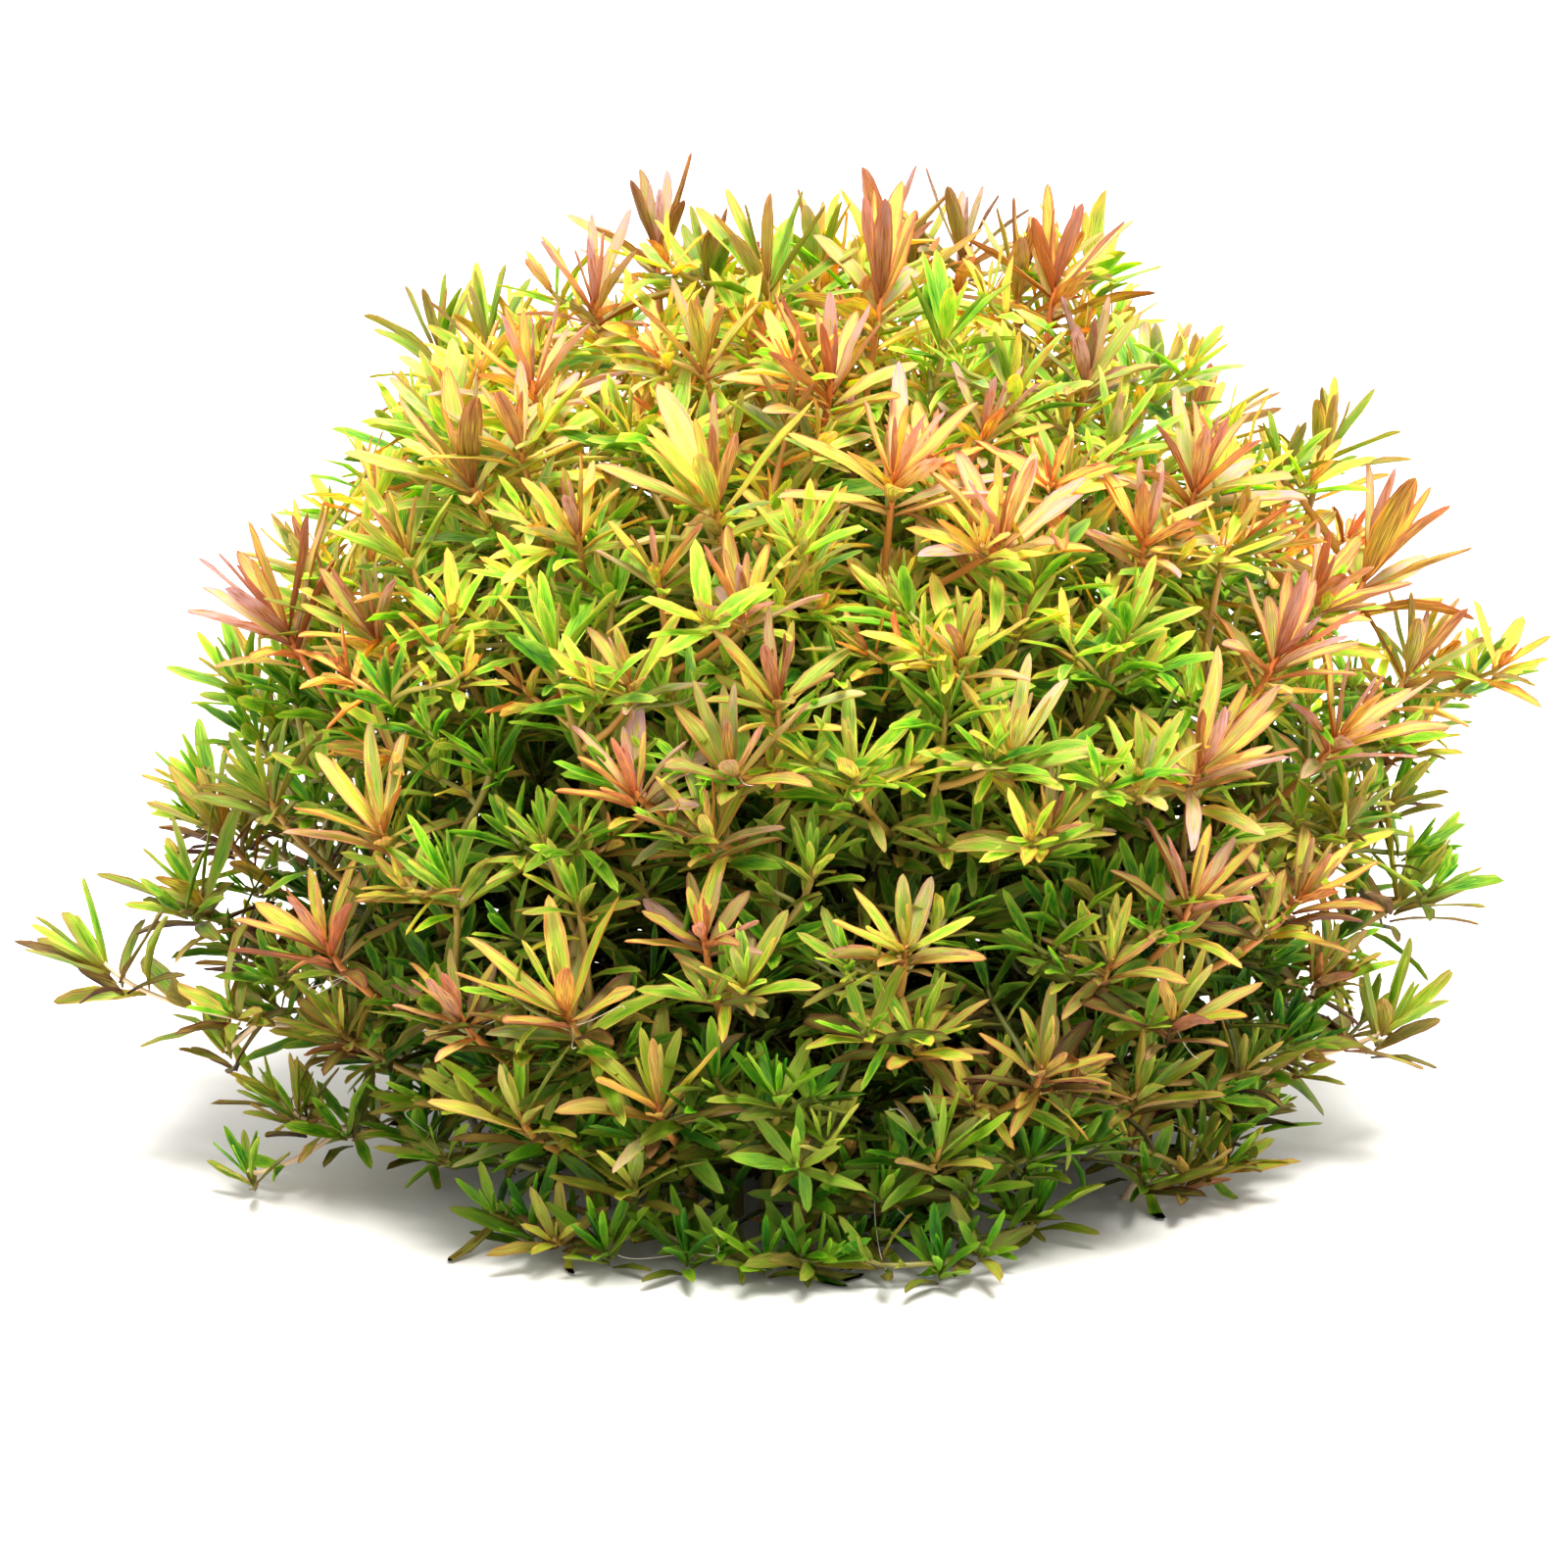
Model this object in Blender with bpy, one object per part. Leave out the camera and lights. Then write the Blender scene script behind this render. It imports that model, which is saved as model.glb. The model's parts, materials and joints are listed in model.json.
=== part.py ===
# Rotala bush: a mound of leafy shoots, each cut flat where it met the ground
# Metres, +Z up. The origin is the cut foot of the middle shoot, on the ground.

import math
import random

import bmesh
import bpy
from mathutils import Vector
from mathutils.bvhtree import BVHTree
from mathutils.geometry import interpolate_bezier

MM = 0.001
UP = Vector((0.0, 0.0, 1.0))
GOLDEN_ANGLE = math.radians(137.508)

# The mound that the crowns stand on, and the patch of ground that the stems leave
MOUND_CENTRE = Vector((0.004, 0.0, 0.070))
MOUND_RADII = Vector((0.100, 0.092, 0.088))
FOOT_RADII = Vector((0.064, 0.058))
FOOT_HUB = Vector((0.004, 0.0, 0.012))
FOOT_SPACING = 0.0095
FOOT_ROUNDS = 40
FLATTEST_FOOT = 1.08
LOWEST_CROWN = 0.005
GROUND_GAP = 0.0008

# The line of sight on which the near crowns are placed
VIEW_RISE = math.radians(15.0)
VIEW_DISTANCE = 1.1
AIM_HEIGHT = 0.066

# Stems are four sided: half widths at the foot and under a crown
STEM_FOOT = 0.0013
STEM_TOP = 0.0009
STEM_MARGIN = 0.0005
FORK_HALF = 0.0013
FORK_GROUP = 7
SHORT_SIDE = 0.018

# Stem routes: the reach of a main stem that may fork, how a side stem sets off, and the
# shares of a stem's span or of its crown's height that bend its curve
CURVE_POINTS = 61
LAST = CURVE_POINTS - 1
FIRST_FORK = 0.16
LAST_FORK = 0.86
SIDE_LEAN = 0.8
SIDE_RISE = 0.6
FOOT_PULL = 0.45
CROWN_PULL = 0.35
FORK_PULL = 0.3
LOWEST_PULL = 0.6
HIGHEST_PULL = 0.75
SIDE_TRIALS = [(drop, bow) for drop in (0.9, 0.65, 1.2, 1.6) for bow in (0.35, 0.15, 0.55)]

# Crowns: how leaves spread from the stem's line, where the blades part, which way a
# crown faces, and how leaves are shortened to stay clear of other shoots
OUTER_SPREAD = math.radians(66.0)
INNER_SPREAD = math.radians(33.0)
SPREAD_PLAY = math.radians(8.0)
PART_SPREAD = math.radians(62.0)
PART_REACH = 0.31
BUD_REACH = 0.66
STAR_PHASE = 0.15
OUTWARD_PULL = 1.0
LOWEST_FACING = -0.1
UPWARD_PULL = 1.9
AXIS_PLAY = 0.24
LEAF_LENGTHS = (0.86, 1.0)
SHORTEST_LEAF = 0.36
DEEPEST_PART = 0.85
LOWEST_BUD = 0.7
EIGHT_LEAVES = 0.0158
SEVEN_LEAVES = 0.0135
LEAF_STEP = 0.85
CROWN_TRIALS = 16
CROWN_SCALES = (1.0, 0.8, 0.6)

# The far side of the mound, filled by a spiral of shoots
SPIRAL_POINTS = 42
SPIRAL_DROP = 1.72
SPIRAL_EDGE = 0.03
SIDE_CROWNS = 4
SIDE_STEP = 0.25
CROWN_SPACING = 0.0165
FAR_REACH = (0.0125, 0.0175)
FAR_INSET = 0.94

# Leaf whorls along the bare stems that trail out of the mound
WHORL_PLACES = (0.50, 0.68, 0.85)
WHORL_LEAVES = 4
WHORL_REACH = 0.0125
WHORL_HALF = 0.0006

# Near crowns in millimetres: across and up from the middle of the view, the reach of
# the leaves, and how far behind the mound's near face the crown stands.
# The first crown of a shoot ends its main stem and the others end its side stems.
NEAR_SHOOTS = {
    "top": [
        [(-22, 93, 17, 0), (-13, 88, 14, 8), (-33, 84, 16, 0)],
        [(-3, 88, 18, 0), (8, 70, 17, 0), (-14, 74, 14, 2)],
        [(17, 86, 19, 0), (17, 93, 16, 24), (6, 91, 14, 22)],
        [(47, 87, 19, 0), (41, 88, 15, 10), (53, 89, 15, 28)],
        [(-44, 70, 17, 0), (-52, 76, 15, 16), (-60, 76, 15, 26)],
        [(53, 72, 14, 0), (65, 69, 14, 12), (40, 69, 13, 6)],
        [(28, 79, 13, 0), (31, 93, 15, 28), (22, 90, 13, 46)],
    ],
    "upper": [
        [(-46, 59, 16, 0), (-55, 54, 18, 0), (-58, 63, 14, 16), (-36, 44, 14, 0)],
        [(-12, 50, 20, 0), (-27, 61, 13, 12), (1, 63, 12, 10)],
        [(19, 54, 19, 0), (38, 43, 18, 0), (35, 62, 13, 12)],
        [(72, 53, 18, 0), (63, 44, 14, 6), (57, 60, 13, 10)],
        [(-22, 37, 13, 2), (-7, 31, 13, 0), (4, 40, 12, 4)],
        [(-40, 23, 15, 0), (-27, 18, 13, 2), (-30, 33, 11, 12)],
    ],
    "left": [
        [(-87, 28, 20, 0), (-79, 30, 14, 16), (-83, 39, 13, 26), (-94, 17, 13, 6)],
        [(-66, 41, 14, 0), (-71, 27, 15, 8), (-69, 16, 10, 2)],
        [(-70, -7, 17, 0), (-51, 4, 11, 14)],
        [(-90, -2, 15, 6), (-92, 9, 11, 16), (-86, 17, 11, 20), (-100, -1, 13, 26)],
        [(-80, -27, 16, 0), (-102, -19, 16, 0), (-98, -8, 14, 12), (-58, -17, 13, 4)],
        [(-57, -39, 13, 0), (-76, -43, 13, 6)],
    ],
    "right": [
        [(102, 38, 22, 0), (94, 58, 15, 14), (87, 55, 11, 0)],
        [(86, 23, 16, 0), (77, 41, 15, 4), (92, 32, 15, 4)],
        [(109, 21, 16, 4), (119, 19, 12, 16), (109, 12, 12, 22)],
        [(97, 9, 17, 0), (73, 4, 17, 0)],
        [(60, 27, 13, 2), (62, 1, 13, 0)],
        [(90, -19, 15, 0), (108, -19, 17, 8), (106, -2, 12, 14), (98, -6, 12, 0)],
        [(71, -20, 15, 0), (57, -30, 13, 2), (68, -40, 15, 0), (80, -49, 12, 6)],
    ],
    "middle": [
        [(44, 36, 13, 8), (31, 23, 13, 0), (49, 52, 12, 12)],
        [(-1, 16, 15, 0), (-9, 3, 16, 0), (-26, -1, 14, 2), (-13, -8, 14, 4)],
        [(28, 13, 13, 3), (12, 3, 13, 2), (40, 6, 15, 0), (46, -8, 13, 4)],
        [(-38, -38, 19, 0), (-36, -20, 12, 8), (-42, -9, 11, 10)],
        [(-14, -26, 13, 2), (-7, -34, 13, 0), (5, -14, 10, 8)],
        [(21, -28, 14, 0), (23, -44, 14, 0)],
        [(45, -49, 14, 0), (62, -53, 14, 0)],
    ],
    "low": [
        [(-46, -57, 16, 0), (-63, -60, 12, 5)],
        [(-22, -55, 17, 0), (-26, -68, 14, 0)],
        [(-1, -53, 12, 0), (-12, -51, 10, 3), (7, -62, 11, 0), (17, -71, 11, 0)],
        [(27, -63, 14, 0), (43, -64, 12, 4)],
        [(-3, -82, 11, 0), (-17, -81, 11, 0), (11, -81, 10, 0)],
        [(44, -74, 12, 0), (27, -83, 10, 0)],
        [(-44, -77, 12, 0), (-31, -80, 11, 0)],
    ],
    "trailing": [
        [(-118, -31, 16, -6), (-97, -46, 10, 2), (-90, -30, 12, 8)],
        [(-85, -57, 12, 0), (-93, -67, 9, 0)],
        [(105, -42, 16, 8), (86, -44, 12, 10), (93, -33, 11, 12)],
        [(70, -67, 12, -8), (80, -58, 12, 0)],
    ],
}

# Leaf colours of each zone, from the warm sunlit top to the green foot
ZONE_COLOURS = {
    "top": (0.62, 0.30, 0.06),
    "upper": (0.62, 0.36, 0.05),
    "left": (0.45, 0.30, 0.05),
    "right": (0.50, 0.30, 0.06),
    "middle": (0.42, 0.34, 0.05),
    "low": (0.20, 0.22, 0.03),
    "trailing": (0.24, 0.28, 0.05),
    "back": (0.48, 0.32, 0.05),
}


def clear_scene():
    for thing in list(bpy.data.objects):
        bpy.data.objects.remove(thing, do_unlink=True)


def clamp(value, low, high):
    return max(low, min(high, value))


# The point of the mound at one place of the view, moved on along the line of sight,
# or where that line comes down to the ground in front of the mound
def on_near_side(across, up, push):
    aim = Vector((0.0, 0.0, AIM_HEIGHT))
    eye = aim + Vector((0.0, -math.cos(VIEW_RISE), math.sin(VIEW_RISE))) * VIEW_DISTANCE
    seen = aim + Vector((across, up * math.sin(VIEW_RISE), up * math.cos(VIEW_RISE)))
    sight = (seen - eye).normalized()
    start = Vector([(e - c) / r for e, c, r in zip(eye, MOUND_CENTRE, MOUND_RADII)])
    step = Vector([s / r for s, r in zip(sight, MOUND_RADII)])
    square = step.dot(step)
    half = start.dot(step)
    depth = half * half - square * (start.dot(start) - 1.0)
    travel = (-half - math.sqrt(max(depth, 0.0))) / square
    to_ground = (LOWEST_CROWN - eye.z) / sight.z
    return eye + sight * min(travel + push, to_ground)


def on_far_side(direction):
    reach = Vector([d * r for d, r in zip(direction, MOUND_RADII)])
    point = MOUND_CENTRE + reach * FAR_INSET
    point.z = max(point.z, LOWEST_CROWN)
    return point


# A crown faces between straight out of the mound and straight up
def crown_axis(point, dice):
    out = Vector([(p - c) / r for p, c, r in zip(point, MOUND_CENTRE, MOUND_RADII)])
    out.normalize()
    out.z = max(out.z, LOWEST_FACING)
    play = Vector([dice.uniform(-AXIS_PLAY, AXIS_PLAY) for _ in range(3)])
    return (out * OUTWARD_PULL + UP * UPWARD_PULL + play).normalized()


def make_shoot(zone, number, spots, seed):
    dice = random.Random(seed)
    crowns = []
    for point, reach in spots:
        crowns.append({"point": point, "axis": crown_axis(point, dice), "reach": reach})
    return {"name": f"{zone}_shoot_{number:02d}", "zone": zone, "crowns": crowns, "seed": seed}


def near_shoots():
    shoots = []
    for zone, rows in NEAR_SHOOTS.items():
        for number, row in enumerate(rows, 1):
            spots = []
            for across, up, reach, push in row:
                spots.append((on_near_side(across * MM, up * MM, push * MM), reach * MM))
            shoots.append(make_shoot(zone, number, spots, len(shoots)))
    return shoots


def crowded(point, taken):
    return any((point - other).length < CROWN_SPACING for other in taken)


# The far half of the mound: a spiral of main crowns, each with side crowns around it
def far_shoots(taken, first_seed):
    shoots = []
    for index in range(SPIRAL_POINTS):
        height = 1.0 - (index + 0.5) / SPIRAL_POINTS * SPIRAL_DROP
        level = math.sqrt(1.0 - height * height)
        turn = index * GOLDEN_ANGLE
        direction = Vector((level * math.cos(turn), level * math.sin(turn), height))
        if direction.y < SPIRAL_EDGE or crowded(on_far_side(direction), taken):
            continue
        dice = random.Random(first_seed + index)
        spots = [(on_far_side(direction), dice.uniform(*FAR_REACH))]
        along = direction.cross(UP).normalized()
        over = direction.cross(along)
        spin = dice.uniform(0.0, math.tau)
        for side in range(SIDE_CROWNS):
            angle = spin + math.tau * side / SIDE_CROWNS
            lean = along * math.cos(angle) + over * math.sin(angle)
            point = on_far_side((direction + lean * SIDE_STEP).normalized())
            if not crowded(point, taken + [spot[0] for spot in spots]):
                spots.append((point, dice.uniform(*FAR_REACH)))
        taken.extend(spot[0] for spot in spots)
        shoots.append(make_shoot("back", len(shoots) + 1, spots, first_seed + index))
    return shoots


# Stems fan out of the ground: the flatter a shoot leans, the nearer its foot to the rim
def plant_feet(shoots):
    feet = []
    for shoot in shoots:
        rise = shoot["crowns"][0]["point"] - FOOT_HUB
        share = clamp(rise.angle(UP) / (math.pi / 2), 0.0, FLATTEST_FOOT)
        flat = Vector((rise.x, rise.y)).normalized()
        feet.append(Vector((flat.x * FOOT_RADII.x, flat.y * FOOT_RADII.y)) * share)
    for _ in range(FOOT_ROUNDS):
        for one in range(len(feet)):
            for other in range(one):
                apart = feet[one] - feet[other]
                short = FOOT_SPACING - apart.length
                if short > 0.0:
                    feet[one] += apart.normalized() * short * 0.5
                    feet[other] -= apart.normalized() * short * 0.5
    middle = min(range(len(feet)), key=lambda index: feet[index].length)
    feet[middle] = Vector((0.0, 0.0))
    for shoot, foot in zip(shoots, feet):
        shoot["foot"] = foot.to_3d()


# A main stem rises from its foot and bends over into its crown's line
def main_curve(foot, crown):
    tip = crown["point"]
    span = (tip - foot).length
    low = foot + UP * min(FOOT_PULL * span, HIGHEST_PULL * tip.z)
    high = tip - crown["axis"] * CROWN_PULL * span
    high.z = max(high.z, LOWEST_PULL * tip.z)
    return interpolate_bezier(foot, low, high, tip, CURVE_POINTS)


def tangent(curve, index):
    before = curve[max(index - 1, 0)]
    after = curve[min(index + 1, len(curve) - 1)]
    return (after - before).normalized()


# A side stem leaves its main stem about as far down as its crown stands to the side
def fork_index(curve, crown, drop):
    index = min(range(CURVE_POINTS), key=lambda i: (curve[i] - crown["point"]).length)
    gap = (curve[index] - crown["point"]).length
    walked = 0.0
    while index > 1 and walked < gap * drop:
        walked += (curve[index] - curve[index - 1]).length
        index -= 1
    return int(clamp(index, FIRST_FORK * LAST, LAST_FORK * LAST))


def side_curve(start, heading, crown, bow):
    tip = crown["point"]
    span = (tip - start).length
    high = tip - crown["axis"] * bow * span
    high.z = max(high.z, LOWEST_PULL * tip.z)
    return interpolate_bezier(start, start + heading * FORK_PULL * span, high, tip, CURVE_POINTS)


# Everything placed so far, so that separate shoots never run into each other
class Clearance:
    def __init__(self):
        self.placed = []

    def add(self, owner, points, triangles):
        low = [min(p[k] for p in points) for k in range(3)]
        high = [max(p[k] for p in points) for k in range(3)]
        tree = BVHTree.FromPolygons(points, triangles)
        self.placed.append((owner, low, high, tree))

    # The triangles of a new form that run into what other owners have placed
    def hits(self, points, triangles, skip):
        low = [min(p[k] for p in points) for k in range(3)]
        high = [max(p[k] for p in points) for k in range(3)]
        tree = BVHTree.FromPolygons(points, triangles)
        found = set()
        for owner, other_low, other_high, other in self.placed:
            apart = any(low[k] > other_high[k] or high[k] < other_low[k] for k in range(3))
            if owner not in skip and not apart:
                found.update(pair[0] for pair in tree.overlap(other))
        return found


# A loose tube about a curve, a little wider than its stem, for the clearance tests
def tube_shell(curve):
    points, triangles = [], []
    picks = range(0, len(curve), 4)
    side = tangent(curve, 0).orthogonal().normalized()
    for index in picks:
        line = tangent(curve, index)
        side = (side - line * side.dot(line)).normalized()
        across = line.cross(side)
        for turn in ((1, 0), (0, 1), (-1, 0), (0, -1)):
            reach = STEM_FOOT + STEM_MARGIN
            points.append(curve[index] + (side * turn[0] + across * turn[1]) * reach)
    for ring in range(len(picks) - 1):
        for corner in range(4):
            a = ring * 4 + corner
            b = ring * 4 + (corner + 1) % 4
            triangles.append((a, b, b + 4))
            triangles.append((a, b + 4, a + 4))
    return points, triangles


# Finds for each side crown a fork and a way to it that meets no other stem
def plan_side_stems(shoots, clearance):
    for number, shoot in enumerate(shoots):
        main = shoot["curve"]
        shoot["sides"] = []
        for side, crown in enumerate(shoot["crowns"][1:], 1):
            best = None
            for drop, bow in SIDE_TRIALS:
                fork = fork_index(main, crown, drop)
                line = tangent(main, fork)
                lean = crown["point"] - main[fork]
                lean = (lean - line * lean.dot(line)).normalized()
                start = main[fork] + lean * STEM_FOOT
                curve = side_curve(start, (lean * SIDE_LEAN + line * SIDE_RISE).normalized(), crown, bow)
                met = clearance.hits(*tube_shell(curve), {(number, 0)})
                own = clearance.hits(*tube_shell(curve[LAST // 3:]), set())
                if best is None or len(met) + len(own) < best[0]:
                    best = (len(met) + len(own), fork, bow, curve)
                if best[0] == 0:
                    break
            if best[0]:
                print("side stem meets another:", shoot["name"], side, best[0])
            shoot["sides"].append({"fork": best[1], "bow": best[2], "crown": crown})
            clearance.add((number, side), *tube_shell(best[3]))


# Carries the end face of a stem on to a new middle, direction and half width
def extend(mesh, face, middle, line, radius):
    old_middle = face.calc_center_median()
    turn = face.normal.rotation_difference(line)
    fresh = bmesh.ops.extrude_discrete_faces(mesh, faces=[face])["faces"][0]
    for vert in fresh.verts:
        offset = turn @ (vert.co - old_middle)
        offset -= line * offset.dot(line)
        vert.co = middle + offset.normalized() * radius
        vert.co.z = max(vert.co.z, GROUND_GAP)
    mesh.normal_update()
    return fresh


def foot_face(mesh, foot):
    corners = []
    for quarter in range(4):
        angle = math.tau * (quarter + 0.5) / 4
        reach = Vector((math.cos(angle), math.sin(angle), 0.0)) * STEM_FOOT
        corners.append(mesh.verts.new(foot + reach))
    face = mesh.faces.new(corners)
    face.normal_update()
    return face


def stem_radius(index):
    return STEM_FOOT + (STEM_TOP - STEM_FOOT) * index / LAST


def side_faces(end):
    return [face for edge in end.edges for face in edge.link_faces if face is not end]


# Forks that lie close together share one pair of rings on different sides of the stem
def fork_groups(sides):
    groups = []
    for side in sorted(sides, key=lambda item: item["fork"]):
        if groups and side["fork"] - groups[-1][0]["fork"] <= FORK_GROUP:
            groups[-1].append(side)
        else:
            groups.append([side])
    return groups


# Triangles between a small ring and a wide one around it, seen from below
def band(inner, outer):
    inner_step = math.tau / len(inner)
    outer_step = math.tau / len(outer)
    triangles = []
    i = j = 0
    while i < len(inner) or j < len(outer):
        a, b = inner[i % len(inner)], outer[j % len(outer)]
        next_inner = (i + 1) * inner_step if i < len(inner) else math.inf
        next_outer = STAR_PHASE + (j + 1) * outer_step if j < len(outer) else math.inf
        if next_inner <= next_outer:
            i += 1
            triangles.append((a, inner[i % len(inner)], b))
        else:
            j += 1
            triangles.append((a, outer[j % len(outer)], b))
    return triangles


# The ring of leaf tips and the notches between them, about a stem's end
def star_ring(corners, middle, axis, reach, spreads, lengths):
    side = corners[0] - middle
    side = (side - axis * side.dot(axis)).normalized()
    across = axis.cross(side)
    points = []
    for place in range(2 * len(spreads)):
        angle = STAR_PHASE + math.pi * place / len(spreads)
        radial = side * math.cos(angle) + across * math.sin(angle)
        leaf = place // 2
        if place % 2:
            spread, length = PART_SPREAD, PART_REACH * min(lengths[leaf], DEEPEST_PART)
        else:
            spread, length = spreads[leaf], lengths[leaf]
        point = middle + (radial * math.sin(spread) + axis * math.cos(spread)) * reach * length
        point.z = max(point.z, GROUND_GAP)
        points.append(point)
    return points


# Larger crowns have more leaves
def leaf_count(reach):
    if reach >= EIGHT_LEAVES:
        return 8
    return 7 if reach >= SEVEN_LEAVES else 6


# Shortens the leaves that would run into something until all of them are clear
def fit_star(corners, middle, axis, crown, dice, clearance, owner, closed):
    count = crown["leaves"]
    spreads, full = [], []
    for leaf in range(count):
        spread = INNER_SPREAD if leaf % 2 and closed else OUTER_SPREAD
        spreads.append(spread + dice.uniform(-SPREAD_PLAY, SPREAD_PLAY))
        full.append(dice.uniform(*LEAF_LENGTHS))
    inner = list(range(4))
    outer = list(range(4, 4 + 2 * count))
    triangles = band(inner, outer)
    if closed:
        bud = 4 + 2 * count
        pairs = zip(outer, outer[1:] + outer[:1])
        triangles += [(bud, here, there) for here, there in pairs]
    else:
        top = list(range(4 + 2 * count, 8 + 2 * count))
        triangles += [tuple(reversed(triangle)) for triangle in band(top, outer)]
    for trial in range(CROWN_TRIALS * len(CROWN_SCALES)):
        if trial % CROWN_TRIALS == 0:
            reach = crown["reach"] * CROWN_SCALES[trial // CROWN_TRIALS]
            lengths = full[:]
        points = corners[:4]
        points += star_ring(corners, middle, axis, reach, spreads, lengths)
        if closed:
            rise = BUD_REACH * max(min(lengths), LOWEST_BUD)
            points.append(middle + axis * reach * rise)
        else:
            points += [corner + axis * WHORL_HALF * 2 for corner in corners]
        met = clearance.hits(points, triangles, owner)
        if not met:
            return points, triangles
        for triangle in met:
            for place in triangles[triangle]:
                if 4 <= place < 4 + 2 * count:
                    leaf = (place - 4) // 2
                    lengths[leaf] = max(lengths[leaf] * LEAF_STEP, SHORTEST_LEAF)
    return None, None


# Replaces the end face of a stem by a crown of leaves, or by a whorl that it goes on from
def add_star(mesh, end, axis, crown, dice, clearance, owner, closed):
    corners = list(end.verts)
    middle = end.calc_center_median()
    places = [vert.co.copy() for vert in corners]
    points, triangles = fit_star(places, middle, axis, crown, dice, clearance, owner, closed)
    if points is None:
        return None
    mesh.faces.remove(end)
    verts = corners + [mesh.verts.new(point) for point in points[4:]]
    for triangle in triangles:
        mesh.faces.new([verts[place] for place in triangle])
    clearance.add(max(owner), points, triangles)
    if closed:
        return True
    fresh = mesh.faces.new(verts[-4:])
    mesh.normal_update()
    return fresh


def build_side_stem(mesh, face, side):
    crown = side["crown"]
    start = face.calc_center_median()
    heading = (face.normal * SIDE_LEAN + side["line"] * SIDE_RISE).normalized()
    curve = side_curve(start, heading, crown, side["bow"])
    if (crown["point"] - start).length > SHORT_SIDE:
        pick = 2 * LAST // 5
        face = extend(mesh, face, curve[pick], tangent(curve, pick), STEM_TOP)
    return extend(mesh, face, curve[LAST], crown["axis"], STEM_TOP)


# One shoot's stems as one solid: the main stem's rings first, then the side stems
def build_stems(number, shoot, clearance):
    mesh = bmesh.new()
    curve = shoot["curve"]
    dice = random.Random(shoot["seed"])
    end = foot_face(mesh, curve[0])
    foot = list(end.verts)
    marks = [(group[0]["fork"], group) for group in fork_groups(shoot["sides"])]
    if shoot["zone"] == "trailing":
        marks += [(int(place * LAST), None) for place in WHORL_PLACES]
    elif not marks or marks[0][0] > LAST // 3:
        marks.append((LAST // 6, []))
    openings = []
    for index, group in sorted(marks, key=lambda mark: mark[0]):
        line = tangent(curve, index)
        radius = stem_radius(index)
        if not group:
            end = extend(mesh, end, curve[index], line, radius)
        if group is None:
            whorl = {"reach": WHORL_REACH, "leaves": WHORL_LEAVES}
            fresh = add_star(mesh, end, line, whorl, dice, clearance, {(number, 0)}, False)
            end = fresh or end
        if group:
            end = extend(mesh, end, curve[index] - line * FORK_HALF, line, radius)
            end = extend(mesh, end, curve[index] + line * FORK_HALF, line, radius)
            free = side_faces(end)
            for side in group:
                lean = side["crown"]["point"] - curve[index]
                face = max(free, key=lambda item: item.normal.dot(lean))
                free.remove(face)
                side["line"] = line
                openings.append((face, side))
    end = extend(mesh, end, curve[LAST], shoot["crowns"][0]["axis"], STEM_TOP)
    mesh.faces.new(list(reversed(foot)))
    ends = [(end, shoot["crowns"][0], 0)]
    for face, side in openings:
        place = shoot["sides"].index(side) + 1
        ends.append((build_side_stem(mesh, face, side), side["crown"], place))
    return mesh, ends


def leaf_material(shoot):
    dice = random.Random(shoot["seed"])
    red, green, blue = ZONE_COLOURS[shoot["zone"]]
    tone = dice.uniform(0.8, 1.2)
    material = bpy.data.materials.new(shoot["name"] + "_leaf")
    material.use_nodes = True
    surface = material.node_tree.nodes["Principled BSDF"]
    surface.inputs["Base Color"].default_value = (red * tone, green, blue, 1.0)
    surface.inputs["Roughness"].default_value = 0.42
    surface.inputs["Metallic"].default_value = 0.0
    return material


def add_object(shoot, mesh):
    bmesh.ops.recalc_face_normals(mesh, faces=mesh.faces)
    data = bpy.data.meshes.new(shoot["name"])
    mesh.to_mesh(data)
    mesh.free()
    data.shade_smooth()
    data.set_sharp_from_angle(angle=math.radians(40.0))
    data.materials.append(leaf_material(shoot))
    thing = bpy.data.objects.new(shoot["name"], data)
    bpy.context.scene.collection.objects.link(thing)
    return data


def grow_shoots():
    shoots = near_shoots()
    taken = [crown["point"] for shoot in shoots for crown in shoot["crowns"]]
    shoots += far_shoots(taken, len(shoots))
    plant_feet(shoots)
    for shoot in shoots:
        shoot["curve"] = main_curve(shoot["foot"], shoot["crowns"][0])
        for crown in shoot["crowns"]:
            crown["leaves"] = leaf_count(crown["reach"])
    return shoots


def build_bush():
    clear_scene()
    shoots = grow_shoots()
    clearance = Clearance()
    for number, shoot in enumerate(shoots):
        met = clearance.hits(*tube_shell(shoot["curve"]), set())
        if met:
            print("main stem meets another:", shoot["name"], len(met))
        clearance.add((number, 0), *tube_shell(shoot["curve"]))
    plan_side_stems(shoots, clearance)
    built = [build_stems(number, shoot, clearance) for number, shoot in enumerate(shoots)]
    total = 0
    for number, (shoot, (mesh, ends)) in enumerate(zip(shoots, built)):
        dice = random.Random(shoot["seed"] + 1000)
        for end, crown, place in ends:
            owner = {(number, place)}
            if not add_star(mesh, end, crown["axis"], crown, dice, clearance, owner, True):
                print("no room for a crown:", shoot["name"], place)
        data = add_object(shoot, mesh)
        data.calc_loop_triangles()
        total += len(data.loop_triangles)
    print("shoots", len(shoots), "triangles", total)


build_bush()
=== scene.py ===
# Rotala bush: the leaves and stems of sixty shoots, on a pale studio floor
# Metres, +Z up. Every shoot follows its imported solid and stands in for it.
import itertools
import json
import math
import random
from functools import partial

import bpy
import numpy as np
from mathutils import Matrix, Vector
from mathutils.bvhtree import BVHTree
from mathutils.geometry import interpolate_bezier
from mathutils.kdtree import KDTree

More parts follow.
